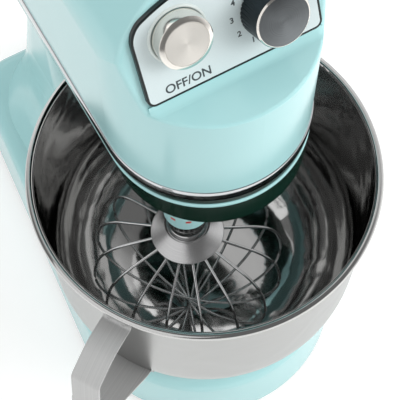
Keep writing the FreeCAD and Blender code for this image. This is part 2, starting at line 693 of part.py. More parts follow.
def cover_outside():
    """A nose block with a rounded ledge, joined to a block behind it whose slope has rounded edges."""
    whole = whole_head(0.0)
    wide = HEAD_HALF_WIDTH * 2
    far = HEAD_REAR_Y * 2
    lap_z = LEDGE_Z - LEDGE_LAP
    nose = whole.common(box(V(-wide, -wide, 0), V(wide, far, LEDGE_Z)))
    rim = [edge for edge in nose.Edges if lies_at(edge, LEDGE_Z) and middle_of(edge).y < 0]
    nose = nose.makeFillet(LEDGE_EDGE_RADIUS, rim)
    behind = whole.common(box(V(-wide, -wide, lap_z), V(wide, far, HEAD_TOP_Z + ARCH_HEADROOM)))
    behind = behind.cut(panel_notch(0.0, LEDGE_LAP))
    sides = [edge for edge in behind.Edges if in_slope(edge) and middle_of(edge).z > LEDGE_Z]
    behind = behind.makeFillet(SLOPE_EDGE_RADIUS, sides)
    return nose.fuse(behind).removeSplitter()


def panel_places(shape):
    copy = shape.copy()
    copy.rotate(ORIGIN, X_AXIS, PANEL_TILT_DEG)
    copy.translate(V(0, PANEL_FOOT_Y, PANEL_FOOT_Z))
    return copy


def make_head_shells():
    cover = cover_outside().cut(cover_inside())
    holes = [cylinder(PLUNGER_RADIUS + BODY_GAP, -WALL * 3, WALL * 3, BUTTON_X, BUTTON_V)]
    holes.append(cylinder(SPINDLE_RADIUS + BODY_GAP, -WALL * 3, WALL * 3, KNOB_X, KNOB_V))
    cover = cover.cut(fused([panel_places(hole) for hole in holes]))
    keep("head_cover", cover)
    ring = raised(head_outline(TRIM_Z, -TRIM_PROUD), TRIM_HEIGHT)
    keep("trim_band", ring.cut(raised(head_outline(TRIM_Z, TRIM_WIDTH - TRIM_PROUD), TRIM_HEIGHT)))
    lower = loft([head_bottom_outline(HEAD_BOTTOM_Z, 0.0), head_outline(TRIM_Z, TRIM_PROUD)], True)
    inside_low = head_bottom_outline(HEAD_BOTTOM_Z + WALL, WALL)
    inside = loft([inside_low, head_outline(TRIM_Z + SAME_HEIGHT, TRIM_PROUD + WALL)], True)
    hub_hole = cylinder(hub_radius() + BODY_GAP, HEAD_BOTTOM_Z - 1, HEAD_BOTTOM_Z + WALL + 1)
    slot = box(V(-ARM_HALF_WIDTH, HINGE_Y - ARM_HALF_DEPTH, HEAD_BOTTOM_Z - 1),
               V(ARM_HALF_WIDTH, HINGE_Y + ARM_HALF_DEPTH, HEAD_BOTTOM_Z + WALL + 1))
    keep("head_lower_shell", lower.cut(inside).cut(hub_hole).cut(slot))


# Chassis plate and hinge arm carry everything in the head

CHASSIS_TOP_Z = TRIM_Z + CHASSIS_THICKNESS
TOWER_RADIUS = BEARING_OUTER_RADIUS + TOWER_WALL
ARM_FLANGE_THICKNESS = 5.0


def hub_radius():
    return HEAD_BOTTOM_HALF_WIDTH - HUB_WALL_WIDTH - BODY_GAP


def arm_screw_places():
    x = ARM_HALF_WIDTH + ARM_FLANGE_MARGIN / 2
    y = ARM_HALF_DEPTH + ARM_FLANGE_MARGIN / 2
    return [(sx * x, HINGE_Y + sy * y) for sx in (-1, 1) for sy in (-1, 1)]


def pillar_places():
    return [(PILLAR_CIRCLE * math.cos(a), MOTOR_Y + PILLAR_CIRCLE * math.sin(a))
            for a in [math.radians(45 + 90 * i) for i in range(4)]]


def make_chassis():
    plate = raised(head_outline(TRIM_Z, TRIM_WIDTH - TRIM_PROUD + BODY_GAP / 2), CHASSIS_THICKNESS)
    cuts = [cylinder(TOWER_RADIUS, TRIM_Z - 1, CHASSIS_TOP_Z + 1)]
    cuts += [cylinder(SCREW_RADIUS, TRIM_Z - 1, CHASSIS_TOP_Z + 1, x, y) for x, y in arm_screw_places()]
    keep("chassis_plate", plate.cut(fused(cuts)))
    flange_low = TRIM_Z - ARM_FLANGE_THICKNESS
    stem = box(V(-ARM_HALF_WIDTH, HINGE_Y - ARM_HALF_DEPTH, HINGE_Z),
               V(ARM_HALF_WIDTH, HINGE_Y + ARM_HALF_DEPTH, flange_low))
    margin = ARM_FLANGE_MARGIN
    flange = box(V(-ARM_HALF_WIDTH - margin, HINGE_Y - ARM_HALF_DEPTH - margin, flange_low),
                 V(ARM_HALF_WIDTH + margin, HINGE_Y + ARM_HALF_DEPTH + margin, TRIM_Z))
    hub = cylinder_x(ARM_HUB_RADIUS, -ARM_HALF_WIDTH, ARM_HALF_WIDTH, HINGE_Y, HINGE_Z)
    arm = fused([stem, flange, hub])
    front = HINGE_Y - ARM_HALF_DEPTH
    notch_z = LOCK_Z + LOCK_HOOK_REACH
    notch = box(V(-LOCK_HOOK_HALF_WIDTH * 1.5, front - 1, notch_z - 2 * LOCK_TIP_HEIGHT),
                V(LOCK_HOOK_HALF_WIDTH * 1.5, front + LOCK_NOTCH_DEPTH, notch_z + LOCK_TIP_HEIGHT))
    pin_hole_radius = HINGE_PIN_RADIUS + RUN_FIT
    pin_hole = cylinder_x(pin_hole_radius, -ARM_HALF_WIDTH - 1, ARM_HALF_WIDTH + 1, HINGE_Y, HINGE_Z)
    cuts = [notch, pin_hole]
    cuts += [cylinder(SCREW_RADIUS, flange_low - 1, TRIM_Z + 1, x, y) for x, y in arm_screw_places()]
    keep("hinge_arm", arm.cut(fused(cuts)))
    screws = []
    for x, y in arm_screw_places():
        head = cylinder(SCREW_HEAD_RADIUS, CHASSIS_TOP_Z, CHASSIS_TOP_Z + SCREW_HEAD_HEIGHT, x, y)
        screws.append(head.fuse(cylinder(SCREW_RADIUS, flange_low, CHASSIS_TOP_Z, x, y)).removeSplitter())
    keep("chassis_screws", group(screws))


# Control panel: edge frame, face plate, push button and speed knob

def panel_wire(grow):
    """Flat-footed panel outline with rounded shoulders and a low crown, in panel coordinates."""
    half = PANEL_HALF_WIDTH + grow
    low = PANEL_RISE - grow
    corner = PANEL_CORNER_RADIUS + grow
    shoulder = PANEL_SHOULDER_RADIUS + grow
    crown = PANEL_CROWN_RADIUS + grow
    side_top = PANEL_SIDE_HEIGHT
    sx = half - shoulder
    drop = math.sqrt((crown - shoulder) ** 2 - sx ** 2)
    crown_v = side_top - drop
    lean = math.atan2(drop, sx)
    k = math.sqrt(0.5)
    edges = []
    for side in (1, -1):
        foot = V(side * (half - corner), low, 0)
        turn = V(side * (half - corner + corner * k), low + corner - corner * k, 0)
        wall = V(side * half, low + corner, 0)
        spring = V(side * half, side_top, 0)
        bend = V(side * (sx + shoulder * math.cos(lean / 2)), side_top + shoulder * math.sin(lean / 2), 0)
        join = V(side * (sx + shoulder * math.cos(lean)), side_top + shoulder * math.sin(lean), 0)
        edges.append(Part.Arc(foot, turn, wall).toShape())
        edges.append(Part.makeLine(wall, spring))
        edges.append(Part.Arc(spring, bend, join).toShape())
    edges.append(Part.makeLine(V(-(half - corner), low, 0), V(half - corner, low, 0)))
    join_x = sx + shoulder * math.cos(lean)
    join_v = side_top + shoulder * math.sin(lean)
    edges.append(Part.Arc(V(-join_x, join_v, 0), V(0, crown_v + crown, 0), V(join_x, join_v, 0)).toShape())
    return Part.Wire(Part.__sortEdges__(edges))


def panel_disc(radius, low, high, x, v):
    return cylinder(radius, low, high, x, v)


FACE_H = FRAME_THICKNESS + PANEL_THICKNESS
BUTTON_FOOT_H = FACE_H + BUTTON_TRAVEL - 1.0


def make_panel():
    frame = raised(panel_wire(FRAME_MARGIN), FRAME_THICKNESS)
    plate = raised(panel_wire(0.0), PANEL_THICKNESS)
    plate.translate(V(0, 0, FRAME_THICKNESS))
    openings = fused([panel_disc(BUTTON_RADIUS + BODY_GAP, -1, FACE_H + 1, BUTTON_X, BUTTON_V),
                      panel_disc(SPINDLE_RADIUS + BODY_GAP, -1, FACE_H + 1, KNOB_X, KNOB_V)])
    keep("panel_frame", panel_places(frame.cut(openings)))
    keep("panel_plate", panel_places(plate.cut(openings)))
    mouth = BUTTON_RADIUS + BODY_GAP
    bezel = Part.makeCone(BEZEL_FOOT_RADIUS, mouth + BEZEL_LIP, BEZEL_HEIGHT, V(BUTTON_X, BUTTON_V, FACE_H))
    bezel = bezel.cut(panel_disc(mouth, FACE_H - 1, FACE_H + BEZEL_HEIGHT + 1, BUTTON_X, BUTTON_V))
    keep("button_bezel", panel_places(bezel))
    face_low = BUTTON_TOP_H - BUTTON_FACE_THICKNESS
    keep("button_cap", panel_places(panel_disc(BUTTON_RADIUS, BUTTON_FOOT_H, face_low, BUTTON_X, BUTTON_V)))
    face = Part.makeCone(BUTTON_RADIUS, BUTTON_RADIUS - BUTTON_CHAMFER, BUTTON_FACE_THICKNESS,
                         V(BUTTON_X, BUTTON_V, face_low))
    keep("button_face", panel_places(face))
    plunger = panel_disc(PLUNGER_RADIUS, -PLUNGER_DEPTH, BUTTON_FOOT_H, BUTTON_X, BUTTON_V)
    keep("button_plunger", panel_places(plunger))
    switch = box(V(BUTTON_X - SWITCH_HALF_WIDTH, BUTTON_V - SWITCH_HALF_WIDTH, -MODULE_DEPTH),
                 V(BUTTON_X + SWITCH_HALF_WIDTH, BUTTON_V + SWITCH_HALF_WIDTH, -WALL))
    well = panel_disc(PLUNGER_RADIUS + BODY_GAP, -PLUNGER_DEPTH - BUTTON_TRAVEL - 1, 0, BUTTON_X, BUTTON_V)
    keep("switch_module", panel_places(switch.cut(well)))
    pot = panel_disc(POT_RADIUS, -MODULE_DEPTH, -WALL, KNOB_X, KNOB_V)
    socket = panel_disc(SPINDLE_RADIUS + RUN_FIT, -SPINDLE_DEPTH - BODY_GAP, 0, KNOB_X, KNOB_V)
    keep("speed_potentiometer", panel_places(pot.cut(socket)))
    board = box(V(-BOARD_HALF_WIDTH, BOARD_BOTTOM_V, -MODULE_DEPTH - BOARD_THICKNESS),
                V(BOARD_HALF_WIDTH, BOARD_TOP_V, -MODULE_DEPTH))
    keep("control_board", panel_places(board))


def make_knob():
    foot = FACE_H + BODY_GAP
    top = foot + KNOB_HEIGHT
    body = Part.makeCone(KNOB_RADIUS, KNOB_TOP_RADIUS, KNOB_HEIGHT, V(KNOB_X, KNOB_V, foot))
    groove_width = KNOB_RIB_DEPTH * 2
    groove = cylinder(groove_width / 2, foot - 1, top - 1.5, KNOB_X + KNOB_RADIUS, KNOB_V)
    body = body.cut(group(ring_of(groove, KNOB_RIB_COUNT, 0.0, KNOB_X, KNOB_V)))
    spindle_top = foot + KNOB_HEIGHT * 0.6
    spindle = panel_disc(SPINDLE_RADIUS, -SPINDLE_DEPTH, spindle_top, KNOB_X, KNOB_V)
    keep("speed_knob", panel_places(body.cut(spindle)))
    face = Part.makeCone(KNOB_FACE_RADIUS, KNOB_FACE_RADIUS - KNOB_FACE_THICKNESS, KNOB_FACE_THICKNESS,
                         V(KNOB_X, KNOB_V, top))
    keep("knob_face", panel_places(face))
    keep("knob_spindle", panel_places(spindle))


# Planetary gearbox: fixed ring gear, carrier on the main shaft, planet gear on the output shaft

OFFSET = MODULE * (RING_TEETH - PLANET_TEETH) / 2
PLANET_X = OFFSET * math.cos(math.radians(PLANET_ANGLE_DEG))
PLANET_Y = OFFSET * math.sin(math.radians(PLANET_ANGLE_DEG))
GEARBOX_LOW_Z = TRIM_Z - GEARBOX_THICKNESS
GEAR_TOP_Z = GEARBOX_LOW_Z
GEAR_LOW_Z = GEAR_TOP_Z - GEAR_FACE
HUB_LOW_Z = HEAD_BOTTOM_Z - HUB_DROP
HUB_TOP_Z = HUB_LOW_Z + HUB_THICKNESS
TOWER_TOP_Z = GEARBOX_LOW_Z + 2 * BEARING_WIDTH + BEARING_SPACER + FLOOR_STEP
PULLEY_LOW_Z = TOWER_TOP_Z + PULLEY_FLANGE
PULLEY_TOP_Z = PULLEY_LOW_Z + PULLEY_WIDTH


def toothed(teeth, low_radius, high_radius, low_share, high_share, z):
    """Closed polygon of straight-flanked teeth: each share is half a tooth's width in pitches."""
    pitch = 2 * math.pi / teeth
    points = []
    for i in range(teeth):
        for radius, share in ((low_radius, -low_share), (high_radius, -high_share),
                              (high_radius, high_share), (low_radius, low_share)):
            angle = (i + share) * pitch
            points.append(V(radius * math.cos(angle), radius * math.sin(angle), z))
    return face_of(points)


def make_gearbox():
    ring_pitch = MODULE * RING_TEETH / 2
    space = toothed(RING_TEETH, ring_pitch - GEAR_ADDENDUM * MODULE, ring_pitch + GEAR_DEDENDUM * MODULE,
                    RING_SPACE_WIDE, RING_SPACE_NARROW, GEAR_LOW_Z - 1).extrude(V(0, 0, GEAR_FACE + 2))
    ring_radius = ring_pitch + GEAR_DEDENDUM * MODULE + RING_WALL
    keep("ring_gear", cylinder(ring_radius, GEAR_LOW_Z, GEAR_TOP_Z).cut(space))
    planet_pitch = MODULE * PLANET_TEETH / 2
    planet_root = planet_pitch - GEAR_DEDENDUM * MODULE
    planet_tip = planet_pitch + GEAR_ADDENDUM * MODULE
    planet = toothed(PLANET_TEETH, planet_root, planet_tip, TOOTH_ROOT_SHARE, TOOTH_TIP_SHARE,
                     GEAR_LOW_Z + BODY_GAP)
    planet = planet.extrude(V(0, 0, GEAR_FACE - 2 * BODY_GAP))
    planet.rotate(ORIGIN, Z_AXIS, PLANET_ANGLE_DEG)
    planet.translate(V(PLANET_X, PLANET_Y, 0))
    keep("planet_gear", planet.cut(cylinder(OUTPUT_RADIUS, HUB_LOW_Z, TRIM_Z, PLANET_X, PLANET_Y)))
    housing = cylinder(ring_radius + 2 * BODY_GAP, GEARBOX_LOW_Z, TRIM_Z)
    housing = housing.fuse(cylinder(TOWER_RADIUS, TRIM_Z, TOWER_TOP_Z))
    bore = cylinder(BEARING_OUTER_RADIUS, GEARBOX_LOW_Z - 1, TOWER_TOP_Z + 1)
    keep("gearbox_housing", housing.removeSplitter().cut(bore))
    bearings = []
    for i in range(2):
        low = GEARBOX_LOW_Z + FLOOR_STEP + i * (BEARING_WIDTH + BEARING_SPACER)
        bearings.append(tube(BEARING_OUTER_RADIUS, MAIN_SHAFT_RADIUS + RUN_FIT, low, low + BEARING_WIDTH))
    keep("main_bearings", group(bearings))
    keep("main_shaft", cylinder(MAIN_SHAFT_RADIUS, HUB_LOW_Z, PULLEY_TOP_Z + SHAFT_END))
    hub = cylinder(hub_radius(), HUB_LOW_Z, HUB_TOP_Z)
    hub = hub.fuse(cylinder(BOSS_RADIUS, BOSS_BOTTOM_Z, HUB_LOW_Z + 1, PLANET_X, PLANET_Y)).removeSplitter()
    bush_radius = OUTPUT_RADIUS + OUTPUT_BUSH_WALL
    hub = hub.cut(cylinder(bush_radius, BOSS_BOTTOM_Z - 1, HUB_TOP_Z + 1, PLANET_X, PLANET_Y))
    keep("carrier_hub", hub.cut(PARTS["main_shaft"]))
    bushes = []
    for low in (BOSS_BOTTOM_Z + FLOOR_STEP, HUB_TOP_Z - OUTPUT_BUSH_LENGTH):
        high = low + OUTPUT_BUSH_LENGTH
        bushes.append(tube(bush_radius, OUTPUT_RADIUS + RUN_FIT, low, high, PLANET_X, PLANET_Y))
    keep("output_bushes", group(bushes))
    pulley = cylinder(PULLEY_RADIUS, PULLEY_LOW_Z, PULLEY_TOP_Z)
    for low in (PULLEY_LOW_Z, PULLEY_TOP_Z - FLANGE_THICKNESS):
        pulley = pulley.fuse(cylinder(PULLEY_RADIUS + PULLEY_FLANGE, low, low + FLANGE_THICKNESS))
    keep("belt_pulley", pulley.removeSplitter().cut(PARTS["main_shaft"]))
    output_low = COLLAR_Z + OUTPUT_END
    keep("output_shaft", cylinder(OUTPUT_RADIUS, output_low, GEAR_TOP_Z - BODY_GAP, PLANET_X, PLANET_Y))


# Belt and motor: an upright motor behind the gearbox drives the main shaft by a toothed belt

MOTOR_LOW_Z = PULLEY_TOP_Z + SHAFT_END
MOTOR_LENGTH = (HEAD_TOP_Z - MOTOR_LOW_Z) * MOTOR_RISE_SHARE
MOTOR_TOP_Z = MOTOR_LOW_Z + MOTOR_LENGTH
ARMATURE_LENGTH = MOTOR_LENGTH - MOTOR_END_ROOM


def belt_loop(extra, low, high):
    """Outline of the belt at a distance from both pulleys, from two circles and their tangents."""
    big = PULLEY_RADIUS + extra
    small = MOTOR_PULLEY_RADIUS + extra
    lean = math.acos((big - small) / MOTOR_Y)
    tangent = math.pi / 2 - lean
    points = []
    for side in (-1, 1):
        nx = side * math.cos(tangent)
        ny = math.sin(tangent)
        points.append((V(big * nx, big * ny, low), V(small * nx, MOTOR_Y + small * ny, low)))
    (left_big, left_small), (right_big, right_small) = points
    edges = [Part.makeLine(left_big, left_small),
             Part.Arc(left_small, V(0, MOTOR_Y + small, low), right_small).toShape(),
             Part.makeLine(right_small, right_big),
             Part.Arc(right_big, V(0, -big, low), left_big).toShape()]
    return Part.Face(Part.Wire(edges)).extrude(V(0, 0, high - low))


def make_motor():
    low = PULLEY_LOW_Z + FLANGE_THICKNESS + BODY_GAP
    high = PULLEY_TOP_Z - FLANGE_THICKNESS - BODY_GAP
    belt = belt_loop(BELT_GAP + BELT_THICKNESS, low, high)
    keep("drive_belt", belt.cut(belt_loop(BELT_GAP, low - 1, high + 1)))
    pillars = []
    for x, y in pillar_places():
        pillars.append(cylinder(PILLAR_RADIUS, CHASSIS_TOP_Z, MOTOR_LOW_Z, x, y))
    keep("motor_pillars", group(pillars))
    inner = MOTOR_RADIUS - MOTOR_WALL
    can = cylinder(MOTOR_RADIUS, MOTOR_LOW_Z, MOTOR_TOP_Z)
    can = can.fuse(cylinder(MOTOR_FLANGE_RADIUS, MOTOR_LOW_Z, MOTOR_LOW_Z + MOTOR_WALL)).removeSplitter()
    can = can.cut(cylinder(inner, MOTOR_LOW_Z + MOTOR_BEARING_WIDTH, MOTOR_TOP_Z + 1))
    can = can.cut(cylinder(MOTOR_BEARING_RADIUS, MOTOR_LOW_Z - 1, MOTOR_TOP_Z))
    can.translate(V(0, MOTOR_Y, 0))
    keep("motor_can", can)
    cap = cylinder(MOTOR_RADIUS, MOTOR_TOP_Z, MOTOR_TOP_Z + MOTOR_BEARING_WIDTH, 0, MOTOR_Y)
    seat = cylinder(MOTOR_BEARING_RADIUS, MOTOR_TOP_Z - 1, MOTOR_TOP_Z + 2 * MOTOR_BEARING_WIDTH, 0, MOTOR_Y)
    keep("motor_cap", cap.cut(seat))
    bearings = []
    for z in (MOTOR_LOW_Z, MOTOR_TOP_Z):
        high = z + MOTOR_BEARING_WIDTH
        bearings.append(tube(MOTOR_BEARING_RADIUS, MOTOR_SHAFT_RADIUS + RUN_FIT, z, high, 0, MOTOR_Y))
    keep("motor_bearings", group(bearings))
    fan_low = MOTOR_LOW_Z + MOTOR_BEARING_WIDTH + ROTOR_GAP
    fan_high = fan_low + FAN_HEIGHT
    arm_low = fan_high + 2 * ROTOR_GAP
    arm_high = arm_low + ARMATURE_LENGTH
    com_low = arm_high + ROTOR_GAP
    com_high = com_low + COMMUTATOR_LENGTH
    shaft = cylinder(MOTOR_SHAFT_RADIUS, PULLEY_LOW_Z, MOTOR_TOP_Z + MOTOR_BEARING_WIDTH, 0, MOTOR_Y)
    keep("motor_shaft", shaft)
    slot = cylinder(ARMATURE_SLOT_RADIUS, arm_low - 1, arm_high + 1, ARMATURE_RADIUS - ROTOR_GAP, MOTOR_Y)
    slots = ring_of(slot, ARMATURE_SLOTS, 0.0, 0.0, MOTOR_Y)
    armature = cylinder(ARMATURE_RADIUS, arm_low, arm_high, 0, MOTOR_Y).cut(group(slots))
    keep("armature", armature.cut(shaft))
    keep("commutator", cylinder(COMMUTATOR_RADIUS, com_low, com_high, 0, MOTOR_Y).cut(shaft))
    blade = box(V(MOTOR_SHAFT_RADIUS, -FAN_BLADE_HALF, fan_low), V(FAN_RADIUS, FAN_BLADE_HALF, fan_high))
    blades = ring_of(blade, FAN_BLADES)
    fan = fused([cylinder(MOTOR_SHAFT_RADIUS + FAN_HUB_WALL, fan_low, fan_high)] + blades)
    fan.translate(V(0, MOTOR_Y, 0))
    keep("cooling_fan", fan.cut(shaft))
    motor_pulley = cylinder(MOTOR_PULLEY_RADIUS, PULLEY_LOW_Z, PULLEY_TOP_Z, 0, MOTOR_Y)
    keep("motor_pulley", motor_pulley.cut(shaft))
    magnet_inner = ARMATURE_RADIUS + MAGNET_GAP
    magnet = Part.makeCylinder(inner, ARMATURE_LENGTH, V(0, 0, arm_low), Z_AXIS, MAGNET_DEG)
    magnet = magnet.cut(cylinder(magnet_inner, arm_low - 1, arm_high + 1))
    magnets = ring_of(magnet, 2, MAGNET_START_DEG)
    for piece in magnets:
        piece.translate(V(0, MOTOR_Y, 0))
    keep("motor_magnets", group(magnets))
    brush_mid = (com_low + com_high) / 2
    half = BRUSH_SIZE / 2
    holder = tube(inner, COMMUTATOR_RADIUS + BRUSH_HOLDER_GAP, com_low, com_high, 0, MOTOR_Y)
    brushes = []
    for side in (-1, 1):
        near = COMMUTATOR_RADIUS + BRUSH_GAP
        far = inner - BRUSH_COVER
        brush = box(V(min(side * near, side * far), MOTOR_Y - half, brush_mid - half),
                    V(max(side * near, side * far), MOTOR_Y + half, brush_mid + half))
        brushes.append(brush)
    curve_clear = cylinder(COMMUTATOR_RADIUS + BRUSH_GAP, arm_low, com_high + 1, 0, MOTOR_Y)
    brushes = [brush.cut(curve_clear) for brush in brushes]
    keep("brush_holder", holder.cut(fused([b.copy() for b in brushes])))
    keep("brushes", group(brushes))


# Whisk: bayonet neck, cone collar with its ferrule disc and a balloon of wire loops

NECK_TOP_Z = BOSS_BOTTOM_Z - NECK_GAP
COLLAR_TOP_Z = COLLAR_Z + COLLAR_HEIGHT
PIN_Z = (COLLAR_TOP_Z + NECK_TOP_Z) / 2
PIN_HALF_LENGTH = NECK_RADIUS - PIN_COVER


def wire_path(depth):
    """One wire loop in the XZ plane: straight spoke, tight shoulder, long flank and round bottom."""
    first = math.radians(WIRE_SLOPE_DEG)
    second = math.radians(WIRE_FLANK_DEG)
    third = math.radians(WIRE_TURN_DEG)
    r1 = WIRE_ROOT_RADIUS + WIRE_RUN * math.cos(first)
    z1 = -WIRE_RUN * math.sin(first)
    r2 = r1 + WIRE_SHOULDER_RADIUS * (math.sin(second) - math.sin(first))
    z2 = z1 + WIRE_SHOULDER_RADIUS * (math.cos(second) - math.cos(first))
    bottom = (1 + math.cos(third)) / math.sin(third)
    inward = math.sin(second) - math.sin(third)
    fall = math.cos(second) - math.cos(third)
    flank = (depth + z2 - r2 * bottom) / (fall - inward * bottom)
    r3 = r2 - flank * inward
    base_radius = r3 / math.sin(third)

    def along(start_r, start_z, radius, begin, angle):
        return V(start_r + radius * (math.sin(angle) - math.sin(begin)), 0,
                 start_z + radius * (math.cos(angle) - math.cos(begin)))

    root = V(WIRE_ROOT_RADIUS, 0, 0)
    spoke = V(r1, 0, z1)
    mid1 = along(r1, z1, WIRE_SHOULDER_RADIUS, first, (first + second) / 2)
    end1 = V(r2, 0, z2)
    mid2 = along(r2, z2, flank, second, (second + third) / 2)
    end2 = along(r2, z2, flank, second, third)
    mid3 = along(end2.x, end2.z, base_radius, third, (third + math.pi) / 2)
    low = V(0, 0, -depth)

    def flip(p):
        return V(-p.x, p.y, p.z)

    edges = [Part.makeLine(root, spoke)]
    for begin, middle, end in ((spoke, mid1, end1), (end1, mid2, end2), (end2, mid3, low),
                               (low, flip(mid3), flip(end2)), (flip(end2), flip(mid2), flip(end1)),
                               (flip(end1), flip(mid1), flip(spoke))):
        edges.append(Part.Arc(begin, middle, end).toShape())
    edges.append(Part.makeLine(flip(spoke), flip(root)))
    return Part.Wire(edges)


def make_whisk():
    wire_z = COLLAR_Z - FERRULE_THICKNESS / 2
    loops = []
    for i in range(WIRE_LOOPS):
        path = wire_path(WIRE_DEPTH_LEAST + i * WIRE_DEPTH_STEP)
        slope = math.radians(WIRE_SLOPE_DEG)
        along = V(math.cos(slope), 0, -math.sin(slope))
        ring = Part.makeCircle(WIRE_RADIUS, V(WIRE_ROOT_RADIUS, 0, 0), along)
        loop = path.makePipeShell([Part.Wire(ring)], True, False)
        loop = Part.makeSolid(loop) if loop.ShapeType != "Solid" else loop
        loop.rotate(ORIGIN, Z_AXIS, WIRE_PHASE_DEG - i * 180.0 / WIRE_LOOPS)
        loop.translate(V(PLANET_X, PLANET_Y, wire_z))
        loops.append(loop)
    keep("whisk_wires", group(loops))
    bore = cylinder(OUTPUT_RADIUS + RUN_FIT, COLLAR_Z - 1, NECK_TOP_Z + 1, PLANET_X, PLANET_Y)
    cone = Part.makeCone(COLLAR_RADIUS, COLLAR_TOP_RADIUS, COLLAR_HEIGHT, V(PLANET_X, PLANET_Y, COLLAR_Z))
    ferrule_low = COLLAR_Z - FERRULE_THICKNESS
    ferrule = cylinder(FERRULE_RADIUS, ferrule_low, COLLAR_Z, PLANET_X, PLANET_Y)
    collar = cone.fuse(ferrule).removeSplitter()
    keep("whisk_collar", collar.cut(bore).cut(PARTS["whisk_wires"]))
    neck = cylinder(NECK_RADIUS, COLLAR_TOP_Z, NECK_TOP_Z, PLANET_X, PLANET_Y)
    ring_low = NECK_TOP_Z - NECK_RING_HEIGHT
    neck = neck.fuse(cylinder(NECK_RING_RADIUS, ring_low, NECK_TOP_Z, PLANET_X, PLANET_Y))
    neck = neck.removeSplitter().cut(bore)
    pin_spread = math.degrees(math.asin((DRIVE_PIN_RADIUS + BODY_GAP) / OUTPUT_RADIUS))
    gap = DRIVE_PIN_RADIUS + BODY_GAP
    slot = Part.makeCylinder(PIN_HALF_LENGTH + BODY_GAP, 2 * gap, V(0, 0, PIN_Z - gap), Z_AXIS,
                             WHISK_TWIST_DEG + 2 * pin_spread)
    slot.rotate(ORIGIN, Z_AXIS, -pin_spread - WHISK_TWIST_DEG)
    slots = [turned(slot, start) for start in (0.0, 180.0)]
    for piece in slots:
        piece.rotate(ORIGIN, Z_AXIS, PLANET_ANGLE_DEG)
        piece.translate(V(PLANET_X, PLANET_Y, 0))
    keep("whisk_neck", neck.cut(fused(slots)))
    pin = Part.makeCylinder(DRIVE_PIN_RADIUS, 2 * PIN_HALF_LENGTH, V(-PIN_HALF_LENGTH, 0, PIN_Z), X_AXIS)
    pin.rotate(ORIGIN, Z_AXIS, PLANET_ANGLE_DEG)
    pin.translate(V(PLANET_X, PLANET_Y, 0))
    keep("drive_pin", pin)
    PARTS["output_shaft"] = PARTS["output_shaft"].cut(pin)


# Bowl: spun steel bowl with a rolled rim, a foot ring with bayonet lugs and a bent strap handle

BEAD_CENTRE_RADIUS = RIM_RADIUS - RIM_BEAD_RADIUS
BOWL_TOP_RADIUS = BEAD_CENTRE_RADIUS - RIM_BEAD_RADIUS + BOWL_WALL
BEAD_Z = RIM_Z - RIM_BEAD_RADIUS
BOWL_LOW_RADIUS = BOWL_TOP_RADIUS - BOWL_TAPER
BOWL_BOTTOM_Z = BOWL_CURVE_Z - BOWL_CURVE_RADIUS


def bowl_body(inset, top):
    """Solid of the bowl's outer form, or of its inside when inset by the wall."""
    radius = BOWL_CURVE_RADIUS - inset
    centre = BOWL_LOW_RADIUS - BOWL_CURVE_RADIUS
    k = math.sqrt(0.5)
    bottom = V(0, 0, BOWL_CURVE_Z - radius)
    flat = V(centre, 0, BOWL_CURVE_Z - radius)
    bend = V(centre + radius * k, 0, BOWL_CURVE_Z - radius * k)
    wall_low = V(centre + radius, 0, BOWL_CURVE_Z)
    wall_top = V(BOWL_TOP_RADIUS - inset, 0, BEAD_Z)
    rim = V(BOWL_TOP_RADIUS - inset, 0, top)
    axis = V(0, 0, top)
    edges = [Part.makeLine(bottom, flat), Part.Arc(flat, bend, wall_low).toShape()]
    edges += [Part.makeLine(wall_low, wall_top), Part.makeLine(wall_top, rim)]
    edges += [Part.makeLine(rim, axis), Part.makeLine(axis, bottom)]
    return revolved(edges)


